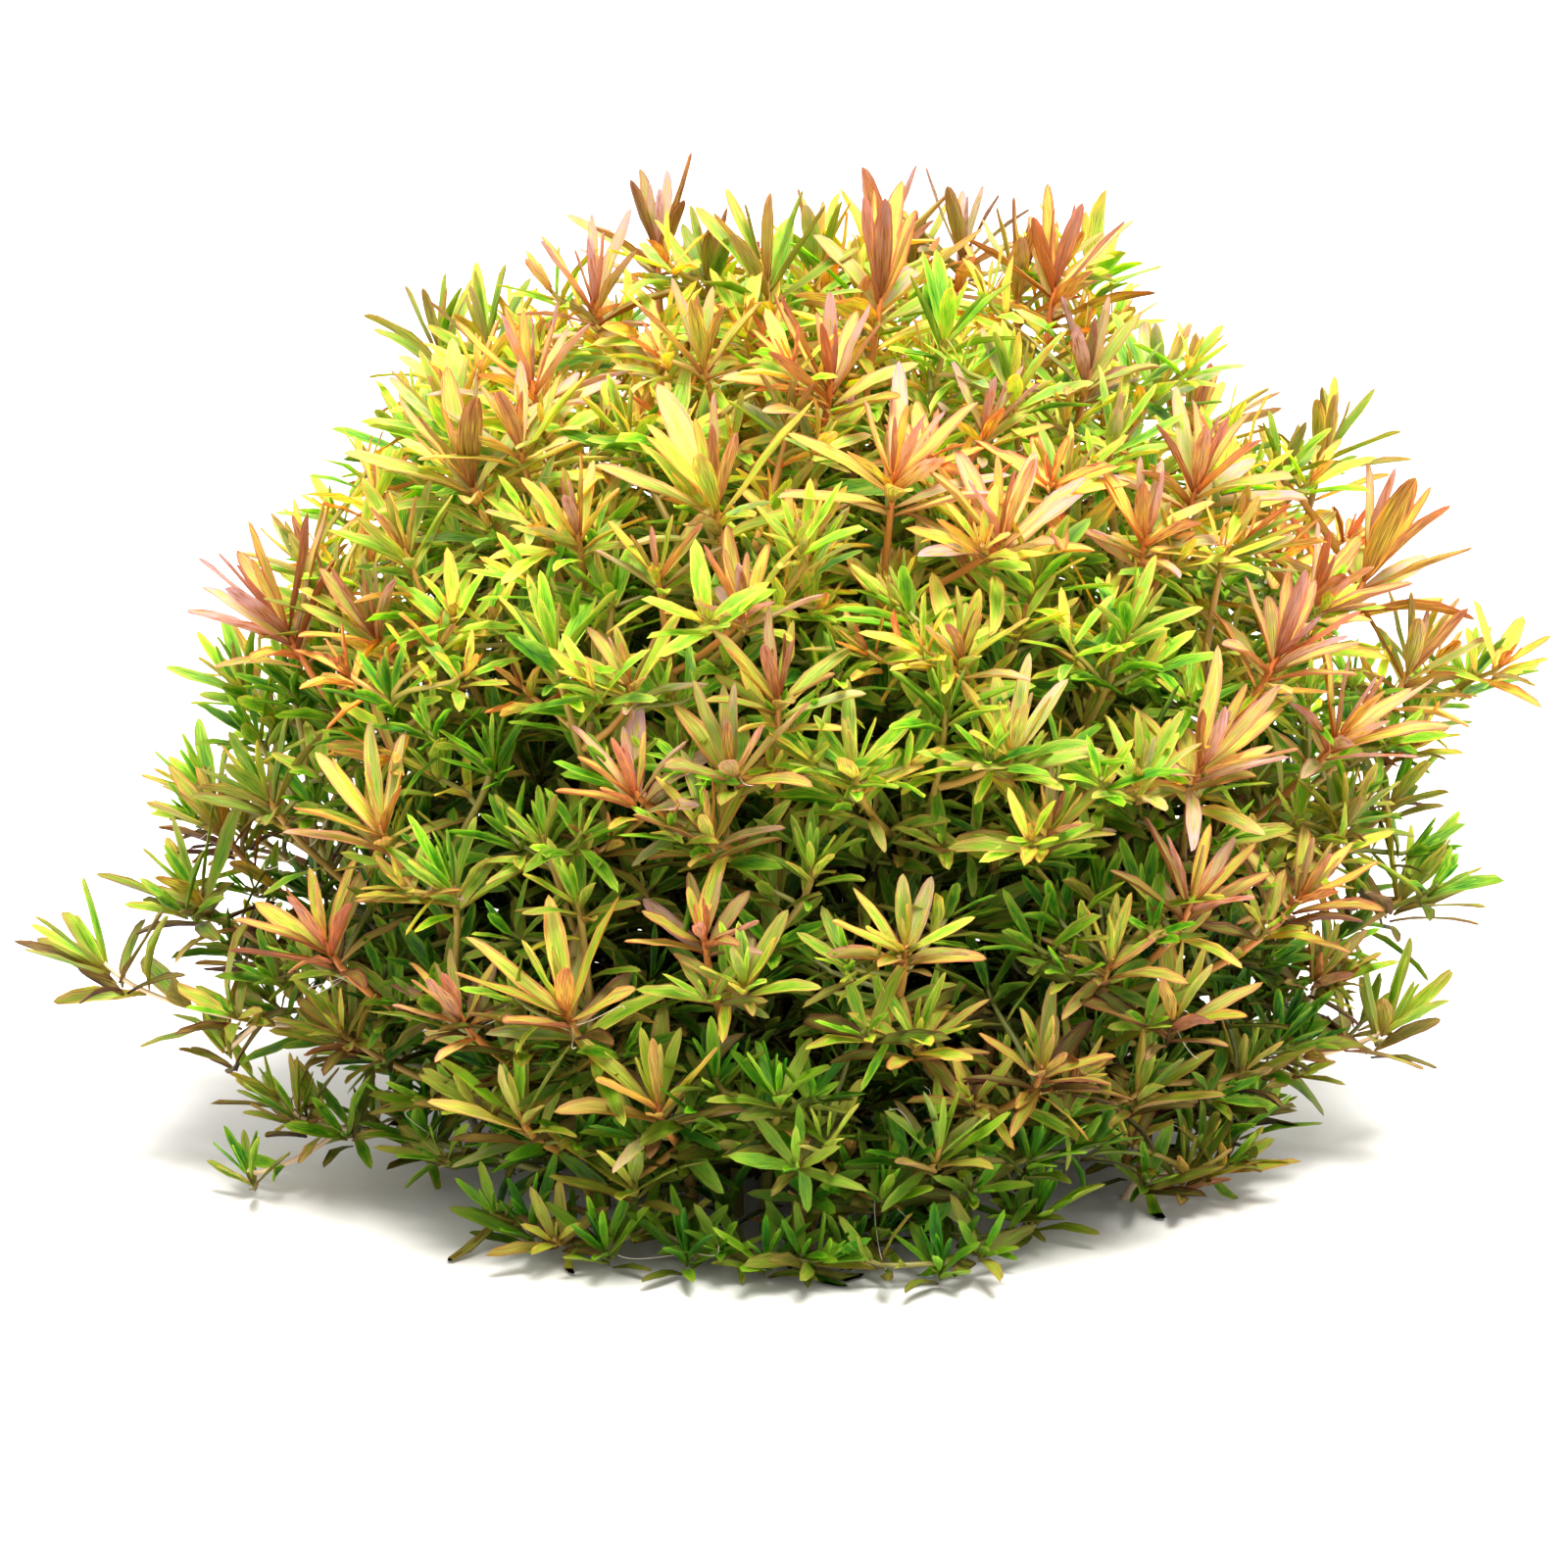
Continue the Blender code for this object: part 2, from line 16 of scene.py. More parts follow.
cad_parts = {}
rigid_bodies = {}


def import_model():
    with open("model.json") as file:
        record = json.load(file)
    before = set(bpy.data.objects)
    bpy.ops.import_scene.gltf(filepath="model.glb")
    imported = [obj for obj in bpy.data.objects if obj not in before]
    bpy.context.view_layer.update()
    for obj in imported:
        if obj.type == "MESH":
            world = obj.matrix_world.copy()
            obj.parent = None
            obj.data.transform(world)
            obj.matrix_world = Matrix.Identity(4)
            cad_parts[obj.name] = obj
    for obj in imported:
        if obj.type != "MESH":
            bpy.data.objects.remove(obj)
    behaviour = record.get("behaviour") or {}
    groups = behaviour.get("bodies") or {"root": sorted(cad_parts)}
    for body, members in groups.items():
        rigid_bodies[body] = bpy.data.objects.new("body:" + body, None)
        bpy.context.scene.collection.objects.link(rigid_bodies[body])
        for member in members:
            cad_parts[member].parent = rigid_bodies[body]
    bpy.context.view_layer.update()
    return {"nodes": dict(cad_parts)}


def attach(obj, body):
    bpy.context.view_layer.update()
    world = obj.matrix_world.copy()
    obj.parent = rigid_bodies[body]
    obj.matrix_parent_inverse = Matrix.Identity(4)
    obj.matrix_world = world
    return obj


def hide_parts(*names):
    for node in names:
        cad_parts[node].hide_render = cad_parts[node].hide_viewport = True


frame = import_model()
print("frame loaded:", len(frame["nodes"]), "shoots")

mm = 0.001
up = Vector((0.0, 0.0, 1.0))
goldenAngle = math.radians(137.508)
seeds = {"farColours": 500, "leaves": 2000, "twigs": 4000}  # the first two add to a shoot's own

# The line of sight of the picture, which also places the near crowns
view = {
    "rise": math.radians(15.0),
    "distance": 1.1,
    "aimHeight": 0.066,
    "width": 0.272,  # what the picture spans at the bush
    "sensor": 36.0,
}

# The mound that the crowns stand on and the patch of ground that the stems leave
mound = {
    "centre": Vector((0.004, 0.0, 0.070)),
    "radii": Vector((0.100, 0.092, 0.088)),
    "footRadii": Vector((0.064, 0.058)),
    "footHub": Vector((0.004, 0.0, 0.012)),
    "footSpacing": 0.0095,
    "flattestFoot": 1.08,
    "lowestCrown": 0.005,
    "outwardPull": 1.0,
    "upwardPull": 1.9,
    "lowestAxis": -0.1,
    "axisPlay": 0.24,
    "footRounds": 40,
}

# The far side of the mound: a spiral of shoots with side crowns around each
farSide = {
    "points": 42,
    "drop": 1.72,
    "edge": 0.03,
    "sideCrowns": 4,
    "sideStep": 0.25,
    "spacing": 0.0165,
    "reach": (0.0125, 0.0175),
    "inset": 0.94,
    "tallest": 0.16,  # where the last row of colours starts to hold alone
    "colourPlay": 0.12,
}

# Crown colours: warmth runs from deep green to red, then brightness and pink bloom, partly a painted
# pale sheen towards the top
palette = {
    "flame": (0.55, 1.02, 0.50),
    "orange": (0.51, 1.03, 0.50),
    "peach": (0.50, 1.08, 1.00),
    "rose": (0.50, 1.04, 1.15),
    "amber": (0.43, 1.02, 0.32),
    "gold": (0.37, 1.06, 0.28),
    "lemon": (0.33, 1.14, 0.30),
    "lime": (0.28, 1.08, 0.05),
    "fern": (0.23, 1.10, 0.00),
    "moss": (0.19, 1.00, 0.00),
    "olive": (0.35, 0.86, 0.10),
    "tan": (0.45, 0.92, 0.25),
    "umber": (0.49, 0.76, 0.85),
}

# Crowns seen in the picture: millimetres across and up from its middle, the reach of
# the leaves, how far behind the mound's near face, and the colour. A row is one shoot.
nearShoots = {
    "top": [
        [(-22, 93, 17, 0, "umber"), (-13, 88, 14, 8, "olive"), (-33, 84, 16, 0, "rose")],
        [(-3, 88, 18, 0, "olive"), (8, 70, 17, 0, "flame"), (-14, 74, 14, 2, "tan")],
        [(17, 86, 19, 0, "orange"), (17, 93, 16, 24, "rose"), (6, 91, 14, 22, "gold")],
        [(47, 87, 19, 0, "flame"), (41, 88, 15, 10, "tan"), (53, 89, 15, 28, "lemon")],
        [(-44, 70, 17, 0, "peach"), (-52, 76, 15, 16, "olive"), (-60, 76, 15, 26, "olive")],
        [(53, 72, 14, 0, "umber"), (65, 69, 14, 12, "lemon"), (40, 69, 13, 6, "lemon")],
        [(28, 79, 13, 0, "lime"), (31, 93, 15, 28, "umber"), (22, 90, 13, 46, "tan")],
    ],
    "upper": [
        [(-46, 59, 16, 0, "amber"), (-55, 54, 18, 0, "tan"), (-58, 63, 14, 16, "gold"),
         (-36, 44, 14, 0, "amber")],
        [(-12, 50, 20, 0, "amber"), (-27, 61, 13, 12, "lime"), (1, 63, 12, 10, "amber")],
        [(19, 54, 19, 0, "peach"), (38, 43, 18, 0, "orange"), (35, 62, 13, 12, "rose")],
        [(72, 53, 18, 0, "orange"), (63, 44, 14, 6, "peach"), (57, 60, 13, 10, "lemon")],
        [(-22, 37, 13, 2, "amber"), (-7, 31, 13, 0, "orange"), (4, 40, 12, 4, "lemon")],
        [(-40, 23, 15, 0, "lime"), (-27, 18, 13, 2, "amber"), (-30, 33, 11, 12, "lime")],
    ],
    "left": [
        [(-87, 28, 20, 0, "flame"), (-79, 30, 14, 16, "olive"), (-83, 39, 13, 26, "gold"),
         (-94, 17, 13, 6, "lime")],
        [(-66, 41, 14, 0, "gold"), (-71, 27, 15, 8, "tan"), (-69, 16, 10, 2, "fern")],
        [(-70, -7, 17, 0, "amber"), (-51, 4, 11, 14, "fern")],
        [(-90, -2, 15, 6, "olive"), (-92, 9, 11, 16, "fern"), (-86, 17, 11, 20, "fern"),
         (-100, -1, 13, 26, "lime")],
        [(-80, -27, 16, 0, "orange"), (-102, -19, 16, 0, "olive"), (-98, -8, 14, 12, "tan"),
         (-58, -17, 13, 4, "lime")],
        [(-57, -39, 13, 0, "orange"), (-76, -43, 13, 6, "olive")],
    ],
    "right": [
        [(102, 38, 22, 0, "orange"), (94, 58, 15, 14, "olive"), (87, 55, 11, 0, "olive")],
        [(86, 23, 16, 0, "flame"), (77, 41, 15, 4, "gold"), (92, 32, 15, 4, "orange")],
        [(109, 21, 16, 4, "amber"), (119, 19, 12, 16, "lime"), (109, 12, 12, 22, "lime")],
        [(97, 9, 17, 0, "peach"), (73, 4, 17, 0, "orange")],
        [(60, 27, 13, 2, "lime"), (62, 1, 13, 0, "gold")],
        [(90, -19, 15, 0, "orange"), (108, -19, 17, 8, "olive"), (106, -2, 12, 14, "lime"),
         (98, -6, 12, 0, "olive")],
        [(71, -20, 15, 0, "orange"), (57, -30, 13, 2, "amber"), (68, -40, 15, 0, "amber"),
         (80, -49, 12, 6, "olive")],
    ],
    "middle": [
        [(44, 36, 13, 8, "lime"), (31, 23, 13, 0, "amber"), (49, 52, 12, 12, "lemon")],
        [(-1, 16, 15, 0, "tan"), (-9, 3, 16, 0, "tan"), (-26, -1, 14, 2, "peach"),
         (-13, -8, 14, 4, "amber")],
        [(28, 13, 13, 3, "lime"), (12, 3, 13, 2, "lemon"), (40, 6, 15, 0, "gold"),
         (46, -8, 13, 4, "amber")],
        [(-38, -38, 19, 0, "amber"), (-36, -20, 12, 8, "lime"), (-42, -9, 11, 10, "lime")],
        [(-14, -26, 13, 2, "orange"), (-7, -34, 13, 0, "lemon"), (5, -14, 10, 8, "lime")],
        [(21, -28, 14, 0, "amber"), (23, -44, 14, 0, "gold")],
        [(45, -49, 14, 0, "tan"), (62, -53, 14, 0, "olive")],
    ],
    "low": [
        [(-46, -57, 16, 0, "amber"), (-63, -60, 12, 5, "moss")],
        [(-22, -55, 17, 0, "orange"), (-26, -68, 14, 0, "gold")],
        [(-1, -53, 12, 0, "fern"), (-12, -51, 10, 3, "fern"), (7, -62, 11, 0, "gold"),
         (17, -71, 11, 0, "lime")],
        [(27, -63, 14, 0, "gold"), (43, -64, 12, 4, "moss")],
        [(-3, -82, 11, 0, "fern"), (-17, -81, 11, 0, "moss"), (11, -81, 10, 0, "moss")],
        [(44, -74, 12, 0, "fern"), (27, -83, 10, 0, "moss")],
        [(-44, -77, 12, 0, "moss"), (-31, -80, 11, 0, "fern")],
    ],
    "trailing": [
        [(-118, -31, 16, -6, "olive"), (-97, -46, 10, 2, "olive"), (-90, -30, 12, 8, "olive")],
        [(-85, -57, 12, 0, "olive"), (-93, -67, 9, 0, "fern")],
        [(105, -42, 16, 8, "olive"), (86, -44, 12, 10, "moss"), (93, -33, 11, 12, "tan")],
        [(70, -67, 12, -8, "olive"), (80, -58, 12, 0, "moss")],
    ],
}

# Colours that the unseen side repeats, from the ground to the top
farColours = [
    ["moss", "fern", "olive", "gold", "moss"],
    ["amber", "olive", "lime", "tan", "amber", "fern"],
    ["amber", "orange", "gold", "lime", "peach", "tan"],
    ["orange", "peach", "umber", "gold", "flame", "rose", "amber"],
]

# Stem routes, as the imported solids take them. Handles are shares of a stem's span.
route = {
    "points": 61,
    "sideDrops": (0.9, 0.65, 1.2, 1.6),
    "sideBows": (0.35, 0.15, 0.55),
    "firstFork": 0.16,
    "lastFork": 0.86,
    "footRadius": 0.0013,
    "forkInset": 0.6,
    "forkHeading": (0.8, 0.6),  # away from the main stem, and along it
    "forkHandle": 0.3,
    "footHandle": (0.45, 0.75),  # the second is the most, as a share of the tip's height
    "tipHandle": 0.35,
    "lowestHandle": 0.6,  # of the tip's height
}


def clamp(value, low=0.0, high=1.0):
    return max(low, min(high, value))


def mix(a, b, share):
    return a + (b - a) * share


def play(dice, most):
    return dice.uniform(-most, most)


def randomVector(dice, most):
    return Vector([play(dice, most) for _ in range(3)])


def smooth(low, high, value):
    share = clamp((value - low) / (high - low))
    return share * share * (3.0 - 2.0 * share)


# The point of the mound at one place of the picture, moved on along the line of sight,
# or where that line comes down to the ground in front of the mound
def onNearSide(across, rise, push):
    aim = Vector((0.0, 0.0, view["aimHeight"]))
    sine, cosine = math.sin(view["rise"]), math.cos(view["rise"])
    eye = aim + Vector((0.0, -cosine, sine)) * view["distance"]
    sight = (aim + Vector((across, rise * sine, rise * cosine)) - eye).normalized()
    centre, radii = mound["centre"], mound["radii"]
    start = Vector([(e - c) / r for e, c, r in zip(eye, centre, radii)])
    step = Vector([s / r for s, r in zip(sight, radii)])
    square, half = step.dot(step), step.dot(start)
    depth = half * half - square * (start.dot(start) - 1.0)
    travel = (-half - math.sqrt(max(depth, 0.0))) / square
    toGround = (mound["lowestCrown"] - eye.z) / sight.z
    return eye + sight * min(travel + push, toGround)


def onFarSide(direction):
    reach = Vector([d * r for d, r in zip(direction, mound["radii"])])
    point = mound["centre"] + reach * farSide["inset"]
    point.z = max(point.z, mound["lowestCrown"])
    return point


def outOfMound(point):
    return Vector([(p - c) / r for p, c, r in zip(point, mound["centre"], mound["radii"])])


def crownAxis(point, dice):
    out = outOfMound(point).normalized()
    out.z = max(out.z, mound["lowestAxis"])
    axis = out * mound["outwardPull"] + up * mound["upwardPull"]
    return (axis + randomVector(dice, mound["axisPlay"])).normalized()


def makeShoot(zone, number, spots, seed):
    dice = random.Random(seed)
    crowns = []
    for point, reach, colour in spots:
        axis = crownAxis(point, dice)
        crowns.append({"point": point, "axis": axis, "reach": reach, "colour": colour})
    return {"name": f"{zone}_shoot_{number:02d}", "zone": zone, "crowns": crowns, "seed": seed}


def makeNearShoots():
    shoots = []
    for zone, rows in nearShoots.items():
        for number, row in enumerate(rows, 1):
            spots = []
            for across, rise, reach, push, colour in row:
                spots.append((onNearSide(across * mm, rise * mm, push * mm), reach * mm, colour))
            shoots.append(makeShoot(zone, number, spots, len(shoots)))
    return shoots


def crowded(point, taken):
    return any((point - other).length < farSide["spacing"] for other in taken)


def farColour(point, dice):
    band = clamp(point.z / farSide["tallest"] + play(dice, farSide["colourPlay"]), 0.0, 0.99)
    return dice.choice(farColours[int(band * len(farColours))])


def makeFarShoots(taken, firstSeed):
    shoots = []
    for index in range(farSide["points"]):
        height = 1.0 - (index + 0.5) / farSide["points"] * farSide["drop"]
        level = math.sqrt(1.0 - height * height)
        turn = index * goldenAngle
        direction = Vector((level * math.cos(turn), level * math.sin(turn), height))
        if direction.y < farSide["edge"] or crowded(onFarSide(direction), taken):
            continue
        dice = random.Random(firstSeed + index)
        paint = random.Random(firstSeed + index + seeds["farColours"])
        point = onFarSide(direction)
        spots = [(point, dice.uniform(*farSide["reach"]), farColour(point, paint))]
        along = direction.cross(up).normalized()
        over = direction.cross(along)
        spin = dice.uniform(0.0, math.tau)
        for side in range(farSide["sideCrowns"]):
            angle = spin + math.tau * side / farSide["sideCrowns"]
            lean = around(along, over, angle)
            point = onFarSide((direction + lean * farSide["sideStep"]).normalized())
            if not crowded(point, taken + [spot[0] for spot in spots]):
                spots.append((point, dice.uniform(*farSide["reach"]), farColour(point, paint)))
        taken.extend(spot[0] for spot in spots)
        shoots.append(makeShoot("back", len(shoots) + 1, spots, firstSeed + index))
    return shoots


# Stems fan out of the ground: the flatter a shoot leans, the nearer its foot to the rim
def plantFeet(shoots):
    feet = []
    for shoot in shoots:
        rise = shoot["crowns"][0]["point"] - mound["footHub"]
        share = clamp(rise.angle(up) / (math.pi / 2), 0.0, mound["flattestFoot"])
        flat = Vector((rise.x, rise.y)).normalized()
        radii = mound["footRadii"]
        feet.append(Vector((flat.x * radii.x, flat.y * radii.y)) * share)
    for _ in range(mound["footRounds"]):
        for one in range(len(feet)):
            for other in range(one):
                apart = feet[one] - feet[other]
                short = mound["footSpacing"] - apart.length
                if short > 0.0:
                    feet[one] += apart.normalized() * short * 0.5
                    feet[other] -= apart.normalized() * short * 0.5
    middle = min(range(len(feet)), key=lambda index: feet[index].length)
    feet[middle] = Vector((0.0, 0.0))
    for shoot, foot in zip(shoots, feet):
        shoot["foot"] = foot.to_3d()


def mainCurve(foot, crown):
    tip = crown["point"]
    span = (tip - foot).length
    rise, most = route["footHandle"]
    low = foot + up * min(rise * span, most * tip.z)
    high = tip - crown["axis"] * route["tipHandle"] * span
    high.z = max(high.z, route["lowestHandle"] * tip.z)
    return interpolate_bezier(foot, low, high, tip, route["points"])


def lengthOf(curve):
    return sum((curve[i + 1] - curve[i]).length for i in range(len(curve) - 1))


def around(side, across, angle):
    return side * math.cos(angle) + across * math.sin(angle)


def tangent(curve, index):
    before = curve[max(index - 1, 0)]
    after = curve[min(index + 1, len(curve) - 1)]
    return (after - before).normalized()


def forkIndex(curve, crown, drop):
    last = route["points"] - 1
    index = min(range(route["points"]), key=lambda i: (curve[i] - crown["point"]).length)
    gap = (curve[index] - crown["point"]).length
    walked = 0.0
    while index > 1 and walked < gap * drop:
        walked += (curve[index] - curve[index - 1]).length
        index -= 1
    return int(clamp(index, route["firstFork"] * last, route["lastFork"] * last))


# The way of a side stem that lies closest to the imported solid
def sideCurve(main, crown, solid):
    best = None
    tip = crown["point"]
    away, onward = route["forkHeading"]
    for drop in route["sideDrops"]:
        fork = forkIndex(main, crown, drop)
        line = tangent(main, fork)
        lean = tip - main[fork]
        lean = (lean - line * lean.dot(line)).normalized()
        start = main[fork] + lean * route["footRadius"] * route["forkInset"]
        span = (tip - start).length
        low = start + (lean * away + line * onward).normalized() * route["forkHandle"] * span
        for bow in route["sideBows"]:
            high = tip - crown["axis"] * bow * span
            high.z = max(high.z, route["lowestHandle"] * tip.z)
            curve = interpolate_bezier(start, low, high, tip, route["points"])
            miss = sum(solid.find_nearest(point)[3] for point in curve[::6])
            if best is None or miss < best[0]:
                best = (miss, curve)
    return best[1]


# How crowns are dressed with leaves: the oldest pair first, then inwards to the bud
crownLook = {
    "lengths": (0.84, 0.98, 1.06, 1.10, 1.06, 0.97, 0.84, 0.66),
    "spreads": (84, 73, 62, 51, 41, 31, 20, 9),
    "arches": (0.45, 0.36, 0.28, 0.17, 0.06, -0.04, -0.12, -0.20),
    "depth": 0.42,  # of the reach, from the oldest pair up to the bud
    "depthPower": 1.3,  # over 1 brings the young pairs together
    "youngPower": 0.7,  # under 1 makes more leaves take the colour of young ones
    "pairTurn": math.radians(66.0),
    "turnPlay": math.radians(15.0),
    "spreadPlay": math.radians(11.0),
    "spreadBunching": 0.6,  # under 1 keeps more of them near the mean
    "lengthPlay": 0.17,
    "opening": (0.82, 1.12),  # how wide a whole crown opens
    "missing": 0.04,
    "levelled": 0.50,  # leaves that point lower than this turn up towards the light
    "lift": 0.75,
    "drooping": 0.10,  # the share of leaves that don't
    "slimness": (0.165, 0.225),
    "budSlimness": 0.68,
    "warmer": (-0.12, 0.02),  # than the crown's own colour, from the oldest leaves to the bud
    "lowWarmer": (0.14, -0.12),
    # Painted sheen: the pale bloom is weaker on low crowns
    "lowBloomAndSheen": 0.35,
    # Painted shade: in low crowns the oldest, outer leaves are darker and the bud brighter
    "lowShade": (0.48, 1.30),
    # Painted light: whole crowns are painted brighter towards the top
    "shade": (1.10, 1.29),  # of whole crowns, near the ground and at the top
    "low": (0.045, 0.105),  # the height over which crowns change from low to high
    "fullCrown": 0.0135,  # smaller crowns have one pair less
    "smallCrown": 0.0105,  # and the smallest have two less
}

# Leaf pairs below the crowns, down the stems
stemLook = {
    "firstGap": 0.0030,
    "gap": (0.0060, 0.0086),
    "gapPlay": 0.0012,
    "spreads": (58, 74),
    "lengths": (1.02, 0.80),
    "shortest": 0.0085,
    "greenAfter": 0.028,
    "bareBelow": 0.0012,
    "lift": 0.26,
    "slimness": (0.17, 0.22),
    "bareShare": 0.35,  # stems that show a stretch without leaves under their crown
    "bareStretch": 0.011,
    "forkClearance": (0.012, 0.004),  # no leaves so near a main stem's foot or a fork
    "arches": (0.1, 0.7),
    "lengthPlay": (0.82, 1.08),
    "spreadPlay": 7.0,
    "anglePlay": 0.16,
    "turnPlay": 0.3,
    "deepShade": 0.95,
}

# Trailing stems are slender, with their leaf pairs set apart in even steps
trailLook = dict(stemLook)
trailLook.update({
    "gap": (0.0072, 0.0080),
    "gapPlay": 0.0006,
    "spreads": (50, 60),
    "lengths": (1.05, 0.98),
    "greenAfter": 0.080,
    "lift": 0.38,
    "slimness": (0.23, 0.30),
    "bareShare": 0.0,
    "slim": 0.72,
    "bark": (0.47, 1.55),
    "pale": 0.4,
})

# Fine pale water roots at the leaf pairs under some crowns
rootLook = {
    "share": 0.24,
    "most": 3,
    "below": (4, 12),  # points of the stem's curve under its end
    "length": (0.006, 0.012),
    "handle": 0.4,
    "alongStem": 0.4,
    "bend": 0.7,
    "bendPlay": 0.5,
    "radius": 0.00006,
    "shade": 0.9,
    "points": 8,
}

# Twigs with small green crowns: a loose grid of them fills the mound, and more stand
# beside the outer ends of the low stems
twigLook = {
    "grid": 0.0131,
    "play": 0.42,
    "outermost": (0.90, 0.98),  # of the mound's radii: low down, where gaps are deep, and at the top
    "outermostHeight": (0.04, 0.11),
    "footNarrowing": 0.70,  # how much of the mound's own narrowing towards the ground they follow
    "lowest": 0.006,
    "clearOfCrowns": 0.0065,
    "longest": 0.030,
    "clearEnds": 6,  # points at both ends of a stem's curve that carry none
    "candidates": 24,
    "climb": 0.4,  # the least rise of a twig, as a share of its length
    "flatness": 1.5,  # how much a smaller rise counts against a stem
    "reach": (0.0100, 0.0138),
    "deeper": 1.16,  # how much longer the leaves deep inside are
    "deepest": (0.55, 0.85),  # of the mound's radii
    "points": 13,
    "footHandle": (0.5, 0.35),  # how much it follows the stem, and a share of its span
    "tipHandle": 0.3,
    "upwardPull": 0.8,
    "outwardPull": 0.3,
    "lengths": (1.0, 1.05, 0.95, 0.75, 0.45),
    "spreads": (80, 62, 46, 28, 10),
    "arches": (0.5, 0.4, 0.25, 0.1, -0.1),
    "slimness": (0.19, 0.25),
    "warmer": 0.05,  # than the leaves around them
    "warmShare": 0.20,  # of the twigs at the mound's face, which are warmer again
    "warmRange": (0.5, 1.0),  # of the mound's radii
    "warmest": (0.05, 0.20),
    # Painted sheen: a pale pink sheen on the highest twigs
    "bloomAndSheen": 0.25,  # on the highest twigs
    "sheenHeight": (0.08, 0.15),
    "besideGap": 0.0085,
    "besideReach": (0.0092, 0.0128),
    "besideLength": (0.007, 0.013),
    "besideOnward": 0.8,
    "besideLift": (-0.2, 0.5),
    "besideEnd": 7,  # points of the stem's curve under its crown
    "besideBelow": 0.045,
    "besideOutside": 0.94,  # of the mound's radii
    "besideTrailing": 1.14,  # the farthest on a trailing stem
}

# Stem thickness in metres: at the foot, under a crown, and the swelling at a leaf pair
stemSize = {
    "foot": 0.00115,
    "crown": 0.00066,
    "twig": 0.00040,
    "twigFoot": 1.3,  # times the rest of the twig
    "sideFoot": 1.1,  # times the crown's
    "tip": 0.8,  # times the crown's
    "step": 0.0035,
    "swelling": 0.16,
    "pairGap": 0.0078,
    "leafInset": 0.7,  # of the radius
    "oldWarmth": (0.30, 0.075),  # the colour far from a tip, and how far that is
    "oldShade": (0.7, 0.09),
    "youngWarmer": 0.12,  # than the crown that the stem carries
}

# How the colours of leaves between the crowns change with height and depth; the shades are painted
# shade low down and deep inside, and painted light towards the top
depthLook = {
    "greenHeight": (0.03, 0.15),
    "greens": (0.16, 0.31),  # deep green at the foot, lime towards the top
    "greenPlay": 0.07,
    "outside": (0.95, 1.20),  # of the mound's radii
    "outsideWarmer": 0.11,
    # Painted light and shade: brighter with height, darker deep inside the mound
    "shadeHeight": (0.02, 0.15),
    "shades": (1.02, 1.74),
    "inside": (0.55, 1.0),
    "insideShades": (0.48, 0.84),
}

# How single leaves differ
leafPlay = {
    "upwardPull": 0.30,
    "arch": 0.22,
    "leastArch": 0.02,
    "fold": (0.10, 0.62),
    "twist": 0.55,
    "sway": 0.055,
    "warmth": 0.08,
    "shade": (0.78, 1.18),
    "shadeRange": (0.2, 1.8),
    "blush": (0.1, 0.3, 0.6, 1.0, 2.2),
}


def zoneGreen(point, dice):
    green = mix(*depthLook["greens"], smooth(*depthLook["greenHeight"], point.z))
    outside = smooth(*depthLook["outside"], outOfMound(point).length)
    return green + depthLook["outsideWarmer"] * outside + play(dice, depthLook["greenPlay"])


# Painted shade: leaves low down and deep inside the mound are darker, and painted light makes them
# brighter towards the top
def paintedDepthShade(point):
    height = smooth(*depthLook["shadeHeight"], point.z)
    outer = smooth(*depthLook["inside"], outOfMound(point).length)
    return mix(*depthLook["shades"], height) * mix(mix(*depthLook["insideShades"], height), 1.0, outer)


# One leaf: where it grows, which way it runs, which way its upper face looks
def addLeaf(growth, dice, base, along, face, length, slimness, arch, form, warmth, shade, blush):
    along = along.normalized()
    face = face + up * leafPlay["upwardPull"]
    face = (face - along * face.dot(along)).normalized()
    arch = arch + play(dice, leafPlay["arch"])
    if abs(arch) < leafPlay["leastArch"]:
        arch = leafPlay["leastArch"]
    growth["leaves"].append({
        "leafBase": base,
        "leafAlong": along,
        "leafFace": face,
        "leafLength": length,
        "leafWidth": length * slimness,
        "leafFold": dice.uniform(*leafPlay["fold"]),
        "leafArch": arch,
        "leafTwist": play(dice, leafPlay["twist"]),
        "leafSway": dice.gauss(0.0, leafPlay["sway"]),
        "leafSeed": dice.random(),
        "leafForm": form,
        "warmth": clamp(warmth + play(dice, leafPlay["warmth"])),
        "shade": clamp(shade * dice.uniform(*leafPlay["shade"]), *leafPlay["shadeRange"]),
        "blush": clamp(blush * dice.choice(leafPlay["blush"])),
    })


